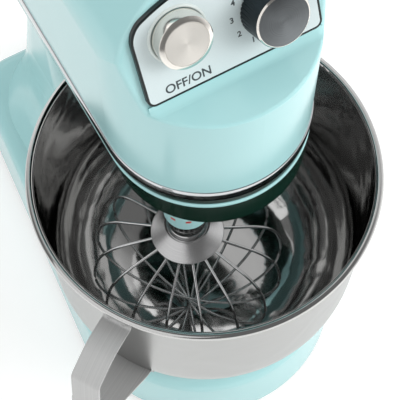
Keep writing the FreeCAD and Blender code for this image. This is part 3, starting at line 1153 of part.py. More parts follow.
def handle_strip():
    """Bent strap in its own upright plane, then turned to its place."""
    wall_r = BOWL_TOP_RADIUS
    outer_r = wall_r + HANDLE_REACH
    grip_z = HANDLE_TOP_Z - HANDLE_GRIP_DROP
    foot_r = BOWL_LOW_RADIUS - HANDLE_FOOT_SINK
    grip_r = outer_r + HANDLE_GRIP_LEAN
    foot_low_z = HANDLE_FOOT_Z - HANDLE_FOOT_FLANGE
    corners = [V(wall_r, 0, HANDLE_TOP_Z + HANDLE_FLANGE), V(wall_r, 0, HANDLE_TOP_Z),
               V(wall_r + HANDLE_LEVEL, 0, HANDLE_TOP_Z), V(outer_r, 0, HANDLE_TOP_Z - HANDLE_FALL),
               V(grip_r, 0, grip_z), V(foot_r, 0, HANDLE_FOOT_Z),
               V(foot_r - HANDLE_FOOT_LEAN, 0, foot_low_z)]
    radii = [0.0, HANDLE_SHARP_RADIUS, HANDLE_EASY_RADIUS, HANDLE_BEND_RADIUS, HANDLE_BEND_RADIUS,
             HANDLE_SHARP_RADIUS]
    edges = []
    start = corners[0]
    for i in range(1, len(corners) - 1):
        before = (corners[i - 1] - corners[i]).normalize()
        after = (corners[i + 1] - corners[i]).normalize()
        turn = math.pi - before.getAngle(after)
        radius = radii[i]
        back = radius * math.tan(turn / 2)
        into = corners[i] + before * back
        out = corners[i] + after * back
        middle = (before + after).normalize()
        centre_gap = radius / math.cos(turn / 2)
        crest = corners[i] + middle * (centre_gap - radius)
        edges.append(Part.makeLine(start, into))
        edges.append(Part.Arc(into, crest, out).toShape())
        start = out
    edges.append(Part.makeLine(start, corners[-1]))
    ribbon = Part.Wire(edges).extrude(V(0, HANDLE_FOOT_WIDTH, 0))
    ribbon.translate(V(0, -HANDLE_FOOT_WIDTH / 2, 0))
    strap = ribbon.makeOffsetShape(HANDLE_THICKNESS, OFFSET_ACCURACY, fill=True)
    half = HANDLE_WIDTH / 2
    wide = HANDLE_FOOT_WIDTH / 2 + BODY_GAP
    far = grip_r * 2
    middle_z = (HANDLE_TOP_Z + HANDLE_FOOT_Z) / 2
    waste = []
    for side in (-1, 1):
        plan = [V(foot_r, side * wide, 0), V(grip_r, side * half, 0), V(far, side * half, 0),
                V(far, side * wide, 0)]
        waste.append(face_of(plan).extrude(V(0, 0, middle_z)))
        strip = [V(0, side * half, middle_z), V(far, side * half, middle_z), V(far, side * wide, middle_z),
                 V(0, side * wide, middle_z)]
        waste.append(face_of(strip).extrude(V(0, 0, middle_z)))
    strap = strap.cut(fused(waste))
    strap.rotate(ORIGIN, Z_AXIS, HANDLE_ANGLE_DEG)
    return strap


def make_bowl():
    outer = bowl_body(0.0, BEAD_Z + RIM_BEAD_RADIUS / 4)
    inner = bowl_body(BOWL_WALL, RIM_Z + 1.0)
    bead = Part.makeTorus(BEAD_CENTRE_RADIUS, RIM_BEAD_RADIUS, V(0, 0, BEAD_Z))
    pan = outer.cut(inner)
    keep("bowl", pan.fuse(bead).removeSplitter())
    ring = tube(FOOT_RING_RADIUS, FOOT_RING_RADIUS - FOOT_RING_WALL, FOOT_FLOOR_Z, BOWL_CURVE_Z)
    ring = ring.cut(outer)
    ring = min(ring.Solids, key=lambda s: s.BoundBox.ZMin)
    lug_low = FOOT_FLOOR_Z + LUG_GAP
    lug = sector(LUG_RADIUS, FOOT_RING_RADIUS - 1.0, lug_low, lug_low + LUG_HEIGHT, LUG_DEG)
    keep("bowl_foot_ring", fused([ring] + ring_of(lug, LUG_COUNT)))
    strap = handle_strip()
    keep("bowl_handle", strap.cut(outer).cut(bead))


make_stand()
make_socket()
make_lock()
make_head_shells()
make_chassis()
make_panel()
make_knob()
make_gearbox()
make_motor()
make_whisk()
make_bowl()

os.makedirs("parts", exist_ok=True)
for node, shape in PARTS.items():
    shape.exportStep("parts/" + node + ".step")
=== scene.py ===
import math

import bpy
from mathutils import Matrix, Vector


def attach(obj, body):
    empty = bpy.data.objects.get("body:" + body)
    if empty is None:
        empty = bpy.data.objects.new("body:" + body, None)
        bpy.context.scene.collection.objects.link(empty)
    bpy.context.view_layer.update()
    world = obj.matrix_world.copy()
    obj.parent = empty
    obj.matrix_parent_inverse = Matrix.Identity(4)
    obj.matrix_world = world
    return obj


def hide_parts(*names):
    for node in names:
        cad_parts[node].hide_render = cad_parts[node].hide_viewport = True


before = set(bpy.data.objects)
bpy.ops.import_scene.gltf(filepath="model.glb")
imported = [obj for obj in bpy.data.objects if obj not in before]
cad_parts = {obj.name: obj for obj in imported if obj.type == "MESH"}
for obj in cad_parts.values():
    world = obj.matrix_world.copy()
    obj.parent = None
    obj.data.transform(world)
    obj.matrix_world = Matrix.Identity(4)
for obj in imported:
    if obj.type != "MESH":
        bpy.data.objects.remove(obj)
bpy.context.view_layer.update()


# Base and column: two hollow die-castings joined at the column's foot, with the hinge barrel on top.
# Both are sprayed with a gloss aqua enamel and baked, so they look wet and smooth.

MM = 0.001
AQUA = "#AEDADB"
AQUA_DEEP = "#A6D5D7"
CLOUD_MM = 80.0
PEEL_MM = 2.4
PEEL_STRENGTH = 0.05
PEEL_DEPTH_MM = 0.05
ENAMEL_ROUGHNESS = 0.16
RESIN_IOR = 1.5


def linear(code):
    channels = [int(code[i:i + 2], 16) / 255 for i in (1, 3, 5)]
    return [c / 12.92 if c <= 0.04045 else ((c + 0.055) / 1.055) ** 2.4 for c in channels] + [1.0]


def per_mm(size):
    """Texture scale that draws a pattern of this size on metre coordinates."""
    return 1.0 / (size * MM)


def new_finish(name):
    finish = bpy.data.materials.new(name)
    finish.use_nodes = True
    finish.node_tree.nodes.clear()
    return finish, finish.node_tree


def add_node(tree, kind, sockets=None, **settings):
    node = tree.nodes.new(kind)
    for key, value in settings.items():
        setattr(node, key, value)
    for key, value in (sockets or {}).items():
        if isinstance(value, bpy.types.NodeSocket):
            tree.links.new(value, node.inputs[key])
        else:
            node.inputs[key].default_value = value
    return node


def gloss_enamel(name, colour, deep):
    """Baked enamel: an even gloss with the faint ripple of sprayed paint and barely clouded colour."""
    finish, tree = new_finish(name)
    place = add_node(tree, "ShaderNodeTexCoord").outputs["Object"]
    cloud = add_node(tree, "ShaderNodeTexNoise", {
        "Vector": place, "Scale": per_mm(CLOUD_MM), "Detail": 2.0})
    tone = add_node(tree, "ShaderNodeMix", {0: cloud.outputs["Fac"], 6: linear(colour), 7: linear(deep)},
                    data_type="RGBA")
    peel = add_node(tree, "ShaderNodeTexNoise", {"Vector": place, "Scale": per_mm(PEEL_MM), "Detail": 1.0})
    ripple = add_node(tree, "ShaderNodeBump", {
        "Height": peel.outputs["Fac"], "Strength": PEEL_STRENGTH, "Distance": PEEL_DEPTH_MM * MM})
    shader = add_node(tree, "ShaderNodeBsdfPrincipled", {
        "Base Color": tone.outputs[2], "Roughness": ENAMEL_ROUGHNESS, "IOR": RESIN_IOR,
        "Normal": ripple.outputs["Normal"]})
    add_node(tree, "ShaderNodeOutputMaterial", {"Surface": shader.outputs["BSDF"]})
    return finish


def dress(finish, *names):
    for name in names:
        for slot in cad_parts[name].material_slots:
            slot.material = finish


aqua_enamel = gloss_enamel("aqua_gloss_enamel", AQUA, AQUA_DEEP)
dress(aqua_enamel, "base_shell")


# Underside: moulded bottom plate held by screws, the rubber feet, the head's stops and the inlet gland.
# They are injection-moulded in black, with the fine spark-eroded texture of the tool.

SOOT = "#1B1C1E"
SOOT_WORN = "#26282B"
SPARK_MM = 0.6
RUBBER_MM = 1.1
RUBBER_BLACK = "#17181A"
RUBBER_DUST = "#242527"
GRAIN_STRENGTH = 0.25
GRAIN_DEPTH_MM = 0.08


def moulded(name, colour, worn, grain_mm, roughness):
    """Moulded, blasted or printed skin: a soft sheen broken by a fine grain."""
    finish, tree = new_finish(name)
    place = add_node(tree, "ShaderNodeTexCoord").outputs["Object"]
    grain = add_node(tree, "ShaderNodeTexNoise", {
        "Vector": place, "Scale": per_mm(grain_mm), "Detail": 3.0})
    tone = add_node(tree, "ShaderNodeMix", {0: grain.outputs["Fac"], 6: linear(colour), 7: linear(worn)},
                    data_type="RGBA")
    pits = add_node(tree, "ShaderNodeBump", {
        "Height": grain.outputs["Fac"], "Strength": GRAIN_STRENGTH, "Distance": GRAIN_DEPTH_MM * MM})
    shader = add_node(tree, "ShaderNodeBsdfPrincipled", {
        "Base Color": tone.outputs[2], "Roughness": roughness, "IOR": RESIN_IOR,
        "Normal": pits.outputs["Normal"]})
    add_node(tree, "ShaderNodeOutputMaterial", {"Surface": shader.outputs["BSDF"]})
    return finish


black_nylon = moulded("moulded_black_nylon", SOOT, SOOT_WORN, SPARK_MM, roughness=0.42)
nitrile_rubber = moulded("moulded_nitrile_rubber", RUBBER_BLACK, RUBBER_DUST, RUBBER_MM, roughness=0.75)
dress(black_nylon, "bottom_plate", "cord_gland")
dress(nitrile_rubber, "rubber_feet", "head_stops")


# Hinge, screws and shafts: turned from bar, left bright, with bronze bushes pressed in round them.
# The head lock is a nylon lever outside the column on a steel shaft with a hook inside.

STEEL_LIGHT = "#B4B5B7"
STEEL_DARK = "#8F9194"
TOOL_LINE_MM = 0.7
BRONZE_LIGHT = "#B58A52"
BRONZE_DARK = "#8E6838"
TURNED_STRETCH = (0.3, 0.3, 1.0)
EVEN_STRETCH = (1.0, 1.0, 1.0)
SMOOTH_SHARE = 0.75
ROUGH_SHARE = 1.25
SCRATCH_STRENGTH = 0.12
SCRATCH_DEPTH_MM = 0.04


def worked_metal(name, light, dark, line_mm, roughness, stretch):
    """Machined or cast metal: tool marks or skin drawn out along the stretch of the pattern."""
    finish, tree = new_finish(name)
    place = add_node(tree, "ShaderNodeTexCoord").outputs["Object"]
    drawn = add_node(tree, "ShaderNodeVectorMath", {0: place, 1: stretch}, operation="MULTIPLY")
    marks = add_node(tree, "ShaderNodeTexNoise", {
        "Vector": drawn.outputs["Vector"], "Scale": per_mm(line_mm), "Detail": 3.0})
    tone = add_node(tree, "ShaderNodeMix", {0: marks.outputs["Fac"], 6: linear(light), 7: linear(dark)},
                    data_type="RGBA")
    rough = add_node(tree, "ShaderNodeMapRange", {
        "Value": marks.outputs["Fac"], "To Min": roughness * SMOOTH_SHARE, "To Max": roughness * ROUGH_SHARE})
    scratch = add_node(tree, "ShaderNodeBump", {
        "Height": marks.outputs["Fac"], "Strength": SCRATCH_STRENGTH, "Distance": SCRATCH_DEPTH_MM * MM})
    shader = add_node(tree, "ShaderNodeBsdfPrincipled", {
        "Base Color": tone.outputs[2], "Metallic": 1.0, "Roughness": rough.outputs["Result"],
        "Normal": scratch.outputs["Normal"]})
    add_node(tree, "ShaderNodeOutputMaterial", {"Surface": shader.outputs["BSDF"]})
    return finish


turned_steel = worked_metal("turned_bright_steel", STEEL_LIGHT, STEEL_DARK, TOOL_LINE_MM,
                            roughness=0.3, stretch=TURNED_STRETCH)
sintered_bronze = worked_metal("sintered_bronze", BRONZE_LIGHT, BRONZE_DARK, TOOL_LINE_MM,
                               roughness=0.45, stretch=EVEN_STRETCH)
dress(turned_steel, "hinge_pin", "bottom_screws", "socket_screws", "lock_shaft", "lock_hook")
dress(sintered_bronze, "hinge_bushes")
dress(black_nylon, "lock_lever")


# Bowl, foot ring and socket: deep-drawn stainless steel, spun on a lathe, buffed inside and satin outside.
# Buffing leaves fine rings round the axis, too fine to show, so they are drawn a few times coarser.

BOWL_LIGHT = "#C8C8C7"
BOWL_DARK = "#B9B9B8"
BOWL_OUTSIDE = "#A9A9A8"
TURN_IN_MM = 5.0
SATIN_TOP_MM = 209.0
SATIN_FADE_MM = 2.0
SPIN_LINE_MM = 1.6
SMEAR_MM = 45.0
WAVE_MM = 38.0
WAVE_STRENGTH = 0.7
WAVE_DEPTH_MM = 0.8
SPIN_STRENGTH = 0.06
SPIN_DEPTH_MM = 0.05


def spun_bowl(name, light, dark, outside, smooth, rough, satin):
    """Spun stainless steel: buffed like a mirror inside, satin outside, with faint rings round the axis."""
    finish, tree = new_finish(name)
    where = add_node(tree, "ShaderNodeTexCoord")
    place = where.outputs["Object"]
    flat = add_node(tree, "ShaderNodeVectorMath", {0: place, 1: (1.0, 1.0, 0.0)}, operation="MULTIPLY")
    facing = add_node(tree, "ShaderNodeVectorMath", {0: flat.outputs["Vector"], 1: where.outputs["Normal"]},
                      operation="DOT_PRODUCT")
    turned_out = add_node(tree, "ShaderNodeMapRange", {"Value": facing.outputs["Value"], "From Min": 0.0,
                                                       "From Max": TURN_IN_MM * MM})
    reach = add_node(tree, "ShaderNodeVectorMath", {0: flat.outputs["Vector"]}, operation="LENGTH")
    height = add_node(tree, "ShaderNodeSeparateXYZ", {"Vector": place})
    below_rim = add_node(tree, "ShaderNodeMapRange", {
        "Value": height.outputs["Z"], "From Min": SATIN_TOP_MM * MM,
        "From Max": (SATIN_TOP_MM + SATIN_FADE_MM) * MM, "To Min": 1.0, "To Max": 0.0})
    satin_part = add_node(tree, "ShaderNodeMath", {
        0: turned_out.outputs["Result"], 1: below_rim.outputs["Result"]}, operation="MULTIPLY")
    profile = add_node(tree, "ShaderNodeCombineXYZ", {
        "X": reach.outputs["Value"], "Y": height.outputs["Z"]})
    rings = add_node(tree, "ShaderNodeTexNoise", {"Vector": profile.outputs["Vector"],
                                                  "Scale": per_mm(SPIN_LINE_MM), "Detail": 3.0})
    smears = add_node(tree, "ShaderNodeTexNoise", {
        "Vector": place, "Scale": per_mm(SMEAR_MM), "Detail": 2.0})
    tone = add_node(tree, "ShaderNodeMix", {0: smears.outputs["Fac"], 6: linear(light), 7: linear(dark)},
                    data_type="RGBA")
    skin = add_node(tree, "ShaderNodeMix", {
        0: satin_part.outputs["Value"], 6: tone.outputs[2], 7: linear(outside)}, data_type="RGBA")
    polish = add_node(tree, "ShaderNodeMapRange", {
        "Value": rings.outputs["Fac"], "To Min": smooth, "To Max": rough})
    sheen = add_node(tree, "ShaderNodeMix", {
        0: satin_part.outputs["Value"], 2: polish.outputs["Result"], 3: satin}, data_type="FLOAT")
    drawn = add_node(tree, "ShaderNodeTexNoise", {"Vector": place, "Scale": per_mm(WAVE_MM), "Detail": 1.0,
                                                  "Distortion": 0.8})
    waves = add_node(tree, "ShaderNodeBump", {
        "Height": drawn.outputs["Fac"], "Strength": WAVE_STRENGTH, "Distance": WAVE_DEPTH_MM * MM})
    lines = add_node(tree, "ShaderNodeBump", {
        "Height": rings.outputs["Fac"], "Strength": SPIN_STRENGTH, "Distance": SPIN_DEPTH_MM * MM,
        "Normal": waves.outputs["Normal"]})
    shader = add_node(tree, "ShaderNodeBsdfPrincipled", {
        "Base Color": skin.outputs[2], "Metallic": 1.0, "Roughness": sheen.outputs[0],
        "Normal": lines.outputs["Normal"]})
    add_node(tree, "ShaderNodeOutputMaterial", {"Surface": shader.outputs["BSDF"]})
    return finish


buffed_steel = spun_bowl("buffed_stainless_steel", BOWL_LIGHT, BOWL_DARK, BOWL_OUTSIDE,
                         smooth=0.05, rough=0.12, satin=0.3)
dress(buffed_steel, "bowl", "bowl_foot_ring", "bowl_socket")


# Bowl handle: a strap of stainless sheet, bent to shape and spot-welded to the bowl under its rim.
# It is linished along its length, and each weld leaves a small round dimple on the top flange.

STRAP_LIGHT = "#C8C8C7"
STRAP_DARK = "#AEAFAF"
STRAP_LINE_MM = 0.9
STRAP_METALLIC = 0.45
BELT_SMOOTH = 0.42
BELT_ROUGH = 0.56
BELT_STRENGTH = 0.1
BELT_DEPTH_MM = 0.05
HANDLE_ANGLE = math.radians(211.5)
FLANGE_OUT_MM = 106.1
WELD_RADIUS_MM = 1.6
WELD_ACROSS_MM = 5.0
WELD_HEIGHTS_MM = (203.5, 207.0)
WELD_SEGMENTS = 16
WELD_RINGS = 8
WELD_FLATTEN = 0.16


def linished_strap(name, light, dark, across):
    """Linished sheet: long straight belt scratches that stretch each reflection along the strap."""
    finish, tree = new_finish(name)
    place = add_node(tree, "ShaderNodeTexCoord").outputs["Object"]
    side = add_node(tree, "ShaderNodeVectorMath", {0: place, 1: across}, operation="DOT_PRODUCT")
    lines = add_node(tree, "ShaderNodeTexNoise", {
        "W": side.outputs["Value"], "Scale": per_mm(STRAP_LINE_MM), "Detail": 4.0}, noise_dimensions="1D")
    tone = add_node(tree, "ShaderNodeMix", {0: lines.outputs["Fac"], 6: linear(light), 7: linear(dark)},
                    data_type="RGBA")
    belt = add_node(tree, "ShaderNodeMapRange", {
        "Value": lines.outputs["Fac"], "To Min": BELT_SMOOTH, "To Max": BELT_ROUGH})
    scratch = add_node(tree, "ShaderNodeBump", {
        "Height": lines.outputs["Fac"], "Strength": BELT_STRENGTH, "Distance": BELT_DEPTH_MM * MM})
    shader = add_node(tree, "ShaderNodeBsdfPrincipled", {
        "Base Color": tone.outputs[2], "Metallic": STRAP_METALLIC, "Roughness": belt.outputs["Result"],
        "Normal": scratch.outputs["Normal"]})
    add_node(tree, "ShaderNodeOutputMaterial", {"Surface": shader.outputs["BSDF"]})
    return finish


across_handle = (-math.sin(HANDLE_ANGLE), math.cos(HANDLE_ANGLE), 0.0)
linished_steel = linished_strap("linished_stainless_strap", STRAP_LIGHT, STRAP_DARK, across_handle)
dress(linished_steel, "bowl_handle")


def new_tree(name, inputs):
    """Geometry Nodes group with a Geometry input and output and named inputs for its sizes."""
    tree = bpy.data.node_groups.new(name, "GeometryNodeTree")
    tree.interface.new_socket("Geometry", in_out="INPUT", socket_type="NodeSocketGeometry")
    sockets = {}
    for key, kind in inputs:
        sockets[key] = tree.interface.new_socket(key, in_out="INPUT", socket_type=kind)
    tree.interface.new_socket("Geometry", in_out="OUTPUT", socket_type="NodeSocketGeometry")
    return tree, sockets


def grown(name, data, tree, sockets, values):
    """Object whose mesh is what the tree makes of the data with these input values."""
    seed = bpy.data.objects.new(name + "_seed", data)
    bpy.context.collection.objects.link(seed)
    modifier = seed.modifiers.new("grow", "NODES")
    modifier.node_group = tree
    for key, value in values.items():
        modifier[sockets[key].identifier] = value
    graph = bpy.context.evaluated_depsgraph_get()
    mesh = bpy.data.meshes.new_from_object(seed.evaluated_get(graph))
    bpy.data.objects.remove(seed)
    mesh.name = name
    piece = bpy.data.objects.new(name, mesh)
    bpy.context.collection.objects.link(piece)
    return piece


def settle(piece, body, slot, *nodes):
    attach(piece, body)
    if nodes:
        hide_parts(*nodes)
    return piece


weld_tree, weld_sockets = new_tree("spot_welds", [
    ("Weld Radius", "NodeSocketFloat"), ("Facing", "NodeSocketRotation"), ("Finish", "NodeSocketMaterial")])
weld_in = add_node(weld_tree, "NodeGroupInput")
weld_dome = add_node(weld_tree, "GeometryNodeMeshUVSphere", {
    "Segments": WELD_SEGMENTS, "Rings": WELD_RINGS, "Radius": weld_in.outputs["Weld Radius"]})
weld_flat = add_node(weld_tree, "GeometryNodeTransform", {
    "Geometry": weld_dome.outputs["Mesh"], "Scale": (1.0, 1.0, WELD_FLATTEN)})
weld_spots = add_node(weld_tree, "GeometryNodeInstanceOnPoints", {
    "Points": weld_in.outputs["Geometry"], "Instance": weld_flat.outputs["Geometry"],
    "Rotation": weld_in.outputs["Facing"]})
weld_real = add_node(weld_tree, "GeometryNodeRealizeInstances", {
    "Geometry": weld_spots.outputs["Instances"]})
weld_smooth = add_node(weld_tree, "GeometryNodeSetShadeSmooth", {"Geometry": weld_real.outputs["Geometry"]})
weld_coat = add_node(weld_tree, "GeometryNodeSetMaterial", {"Geometry": weld_smooth.outputs["Geometry"],
                                                            "Material": weld_in.outputs["Finish"]})
add_node(weld_tree, "NodeGroupOutput", {"Geometry": weld_coat.outputs["Geometry"]})

outward = Vector((math.cos(HANDLE_ANGLE), math.sin(HANDLE_ANGLE), 0.0))
sideways = Vector(across_handle)
weld_places = bpy.data.meshes.new("weld_places")
weld_points = []
for height in WELD_HEIGHTS_MM:
    for side in (-WELD_ACROSS_MM, WELD_ACROSS_MM):
        weld_points.append((outward * FLANGE_OUT_MM + sideways * side + Vector((0.0, 0.0, height))) * MM)
weld_places.from_pydata(weld_points, [], [])
weld_facing = outward.to_track_quat("Z", "Y").to_euler()
welds = grown("handle_spot_welds", weld_places, weld_tree, weld_sockets,
              {"Weld Radius": WELD_RADIUS_MM * MM, "Facing": weld_facing, "Finish": linished_steel})
settle(welds, "bowl", "bowl_steel")


# Head shells: die-cast cover and lower shell, both open where they meet behind the trim.
# The cover is aqua enamel like the base; the lower shell is green gloss darkened by painted shade, with a
# pale lip.

# Painted shade: the green is made very dark to stand for the shade under the head and the dark bowl it
# reflects.
GREEN_PAINTED_SHADE = "#06281D"
GREEN_DEEP_PAINTED_SHADE = "#041D15"
HEAD_HALF_MM = 58.0
HEAD_REAR_MM = 132.0
LIP_Z_MM = 287.2
LIP_HALF_MM = 56.75
LIP_NOSE_MM = -1.3
LIP_WIDTH_MM = 1.6
LIP_HEIGHT_MM = 3.0
LIP_ROUND_MM = 0.7
ARC_STEPS = 48
BAR_ROUND_STEPS = 4
BAR_CREASE = math.radians(50.0)

green_painted_shade_enamel = gloss_enamel("green_gloss_enamel_painted_shade", GREEN_PAINTED_SHADE, GREEN_DEEP_PAINTED_SHADE)
dress(aqua_enamel, "head_cover")
dress(green_painted_shade_enamel, "head_lower_shell")

bar_tree, bar_sockets = new_tree("rounded_bar_along_path", [
    ("Width", "NodeSocketFloat"), ("Height", "NodeSocketFloat"), ("Rounding", "NodeSocketFloat"),
    ("Finish", "NodeSocketMaterial")])
bar_in = add_node(bar_tree, "NodeGroupInput")
bar_outline = add_node(bar_tree, "GeometryNodeCurvePrimitiveQuadrilateral", {
    "Width": bar_in.outputs["Width"], "Height": bar_in.outputs["Height"]})
bar_rounded = add_node(bar_tree, "GeometryNodeFilletCurve", {
    "Curve": bar_outline.outputs["Curve"], "Radius": bar_in.outputs["Rounding"], "Limit Radius": True,
    "Count": BAR_ROUND_STEPS}, mode="POLY")
bar_mesh = add_node(bar_tree, "GeometryNodeCurveToMesh", {
    "Curve": bar_in.outputs["Geometry"], "Profile Curve": bar_rounded.outputs["Curve"], "Fill Caps": True})
bar_smooth = add_node(bar_tree, "GeometryNodeSetShadeSmooth", {"Geometry": bar_mesh.outputs["Mesh"]})
bar_real = add_node(bar_tree, "GeometryNodeRealizeInstances", {"Geometry": bar_smooth.outputs["Geometry"]})
bar_coat = add_node(bar_tree, "GeometryNodeSetMaterial", {"Geometry": bar_real.outputs["Geometry"],
                                                          "Material": bar_in.outputs["Finish"]})
add_node(bar_tree, "NodeGroupOutput", {"Geometry": bar_coat.outputs["Geometry"]})


def path_of(name, runs, closed):
    """Curve data with one straight-segmented spline for each run of points in millimetres."""
    path = bpy.data.curves.new(name + "_path", "CURVE")
    path.dimensions = "3D"
    path.twist_mode = "Z_UP"
    for points in runs:
        spline = path.splines.new("POLY")
        spline.points.add(len(points) - 1)
        for point, place in zip(spline.points, points):
            point.co = (place[0] * MM, place[1] * MM, place[2] * MM, 1.0)
        spline.use_cyclic_u = closed
    return path


def bar_along(name, runs, closed, width, height, rounding, finish):
    piece = grown(name, path_of(name, runs, closed), bar_tree, bar_sockets,
                  {"Width": width * MM, "Height": height * MM, "Rounding": rounding * MM, "Finish": finish})
    piece.data.set_sharp_from_angle(angle=BAR_CREASE)
    return piece


def head_outline(half, nose, z):
    """Outline of the head at one height: a half circle at each end, joined by straight sides."""
    points = []
    for start, centre in ((math.pi, nose), (0.0, HEAD_REAR_MM)):
        for step in range(ARC_STEPS + 1):
            angle = start + math.pi * step / ARC_STEPS
            points.append((half * math.cos(angle), centre + half * math.sin(angle), z))
    return points


lip_line = head_outline(LIP_HALF_MM, LIP_NOSE_MM, LIP_Z_MM)
lip = bar_along("lower_shell_lip", [lip_line], True, LIP_WIDTH_MM, LIP_HEIGHT_MM, LIP_ROUND_MM, aqua_enamel)
settle(lip, "head", "aqua_paint")


# Trim band: a bright moulding rolled from strip and chromed, clipped into the joint between the shells.
# Its long edges are rolled over, so each catches one thin bright line.

CHROME_LIGHT = "#D2D3D5"
CHROME_DARK = "#C2C4C7"
CHROME_CLOUD_MM = 14.0
TRIM_Z_MM = 298.5
TRIM_WIDTH_MM = 4.0
TRIM_HEIGHT_MM = 9.0
TRIM_ROUND_MM = 0.4
TRIM_PROUD_MM = 0.6

chrome_plate = worked_metal("polished_chrome_plate", CHROME_LIGHT, CHROME_DARK, CHROME_CLOUD_MM,
                            roughness=0.07, stretch=EVEN_STRETCH)
trim_half = HEAD_HALF_MM + TRIM_PROUD_MM - TRIM_WIDTH_MM / 2
trim_line = head_outline(trim_half, 0.0, TRIM_Z_MM)
trim = bar_along("trim_moulding", [trim_line], True, TRIM_WIDTH_MM, TRIM_HEIGHT_MM, TRIM_ROUND_MM,
                 chrome_plate)
settle(trim, "head", "chrome_trim", "trim_band")


# Control panel: an anodised plate in a black gasket, on the sloping front above the ledge.
# The words and dial numbers are screen-printed on the plate in dark grey ink.

PLATE_LIGHT = "#D3DFE0"
PLATE_COOL = "#C8D6D8"
BEAD_BLAST_MM = 0.5
GASKET = "#081213"
GASKET_WORN = "#0F1B1C"
INK = "#3C4447"
PANEL_TILT = math.radians(66.5)
PANEL_FOOT_MM = (0.0, -30.5, 374.5)
PANEL_HALF_MM = 46.4
PANEL_LOW_MM = 2.7
PANEL_SIDE_MM = 37.0
PANEL_CORNER_MM = 3.5
PANEL_SHOULDER_MM = 12.0
PANEL_CROWN_MM = 95.0
PLATE_FACE_MM = 2.5
GASKET_WIDTH_MM = 1.4
GASKET_OUT_MM = 0.8
GASKET_HEIGHT_MM = 1.1
GASKET_ROUND_MM = GASKET_WIDTH_MM / 5
INK_MM = 0.05
INK_SPREAD_MM = 0.12
COVE_FRONT_MM = 5.0
COVE_RISE_MM = 4.4
COVE_TOP_H_MM = 1.6
LEDGE_Z_MM = 372.5
COVE_HALF_MM = 47.2
COVE_EDGE_MM = 57.6
COVE_SINK_MM = 0.2
COVE_STEPS = 8
COVE_CREASE = math.radians(35.0)
CORNER_STEPS = ARC_STEPS // 3

on_panel = Matrix.Translation(Vector(PANEL_FOOT_MM) * MM) @ Matrix.Rotation(PANEL_TILT, 4, "X")


def panel_outline(grow, h):
    """Panel edge in panel coordinates: flat foot, upright sides, round shoulders and a low crown."""
    half = PANEL_HALF_MM + grow
    low = PANEL_LOW_MM - grow
    corner = PANEL_CORNER_MM + grow
    shoulder = PANEL_SHOULDER_MM + grow
    crown = PANEL_CROWN_MM + grow
    inner = half - shoulder
    drop = math.sqrt((crown - shoulder) ** 2 - inner ** 2)
    lean = math.atan2(drop, inner)
    arcs = [(half - corner, low + corner, corner, -math.pi / 2, 0.0),
            (inner, PANEL_SIDE_MM, shoulder, 0.0, lean),
            (0.0, PANEL_SIDE_MM - drop, crown, lean, math.pi - lean),
            (-inner, PANEL_SIDE_MM, shoulder, math.pi - lean, math.pi),
            (corner - half, low + corner, corner, math.pi, math.pi * 1.5)]
    points = []
    for x, v, radius, start, end in arcs:
        for step in range(CORNER_STEPS + 1):
            angle = start + (end - start) * step / CORNER_STEPS
            points.append((x + radius * math.cos(angle), v + radius * math.sin(angle), h))
    return points


anodised_plate = moulded("bead_blasted_anodised_plate", PLATE_LIGHT, PLATE_COOL, BEAD_BLAST_MM,
                         roughness=0.32)
gasket_rubber = moulded("moulded_gasket_rubber", GASKET, GASKET_WORN, RUBBER_MM, roughness=0.3)
dress(anodised_plate, "panel_plate")
dress(gasket_rubber, "panel_frame")
gasket_middle = PLATE_FACE_MM + INK_MM - GASKET_HEIGHT_MM / 2
gasket_line = panel_outline(GASKET_OUT_MM - GASKET_WIDTH_MM / 2, gasket_middle)
gasket = bar_along("panel_gasket_edge", [gasket_line], True, GASKET_WIDTH_MM, GASKET_HEIGHT_MM,
                   GASKET_ROUND_MM, gasket_rubber)
gasket.data.transform(on_panel)
settle(gasket, "head", "panel_edge")


def mesh_piece(name, points, faces, finish):
    mesh = bpy.data.meshes.new(name)
    mesh.from_pydata([Vector(point) * MM for point in points], [], faces)
    mesh.materials.append(finish)
    piece = bpy.data.objects.new(name, mesh)
    bpy.context.collection.objects.link(piece)
    return piece


gasket_front = (PANEL_FOOT_MM[1] + (PANEL_LOW_MM - GASKET_OUT_MM) * math.cos(PANEL_TILT)
                - COVE_TOP_H_MM * math.sin(PANEL_TILT))
cove_points = []
stations = 2 * ARC_STEPS
count = COVE_STEPS + 3
for station in range(stations + 1):
    x = COVE_HALF_MM * (2.0 * station / stations - 1.0)
    reach = min(COVE_FRONT_MM, math.sqrt(COVE_EDGE_MM ** 2 - x ** 2) + gasket_front)
    cove_points.append((x, gasket_front + COVE_FRONT_MM, LEDGE_Z_MM - COVE_SINK_MM))
    cove_points.append((x, gasket_front - reach, LEDGE_Z_MM - COVE_SINK_MM))
    for step in range(COVE_STEPS + 1):
        angle = math.pi / 2 * step / COVE_STEPS
        cove_points.append((x, gasket_front - reach * (1.0 - math.sin(angle)),
                            LEDGE_Z_MM + COVE_RISE_MM * (1.0 - math.cos(angle))))
cove_faces = []
for station in range(stations):
    a = station * count
    for i in range(count):
        j = (i + 1) % count
        cove_faces.append((a + i, a + count + i, a + count + j, a + j))
cove_faces.append(tuple(range(count)))
cove_faces.append(tuple(reversed(range(stations * count, stations * count + count))))
cove = mesh_piece("ledge_cove", cove_points, cove_faces, aqua_enamel)
cove.data.shade_smooth()
cove.data.set_sharp_from_angle(angle=COVE_CREASE)
settle(cove, "head", "aqua_paint")

screen_ink = moulded("screen_printed_ink", INK, INK, BEAD_BLAST_MM, roughness=0.5)


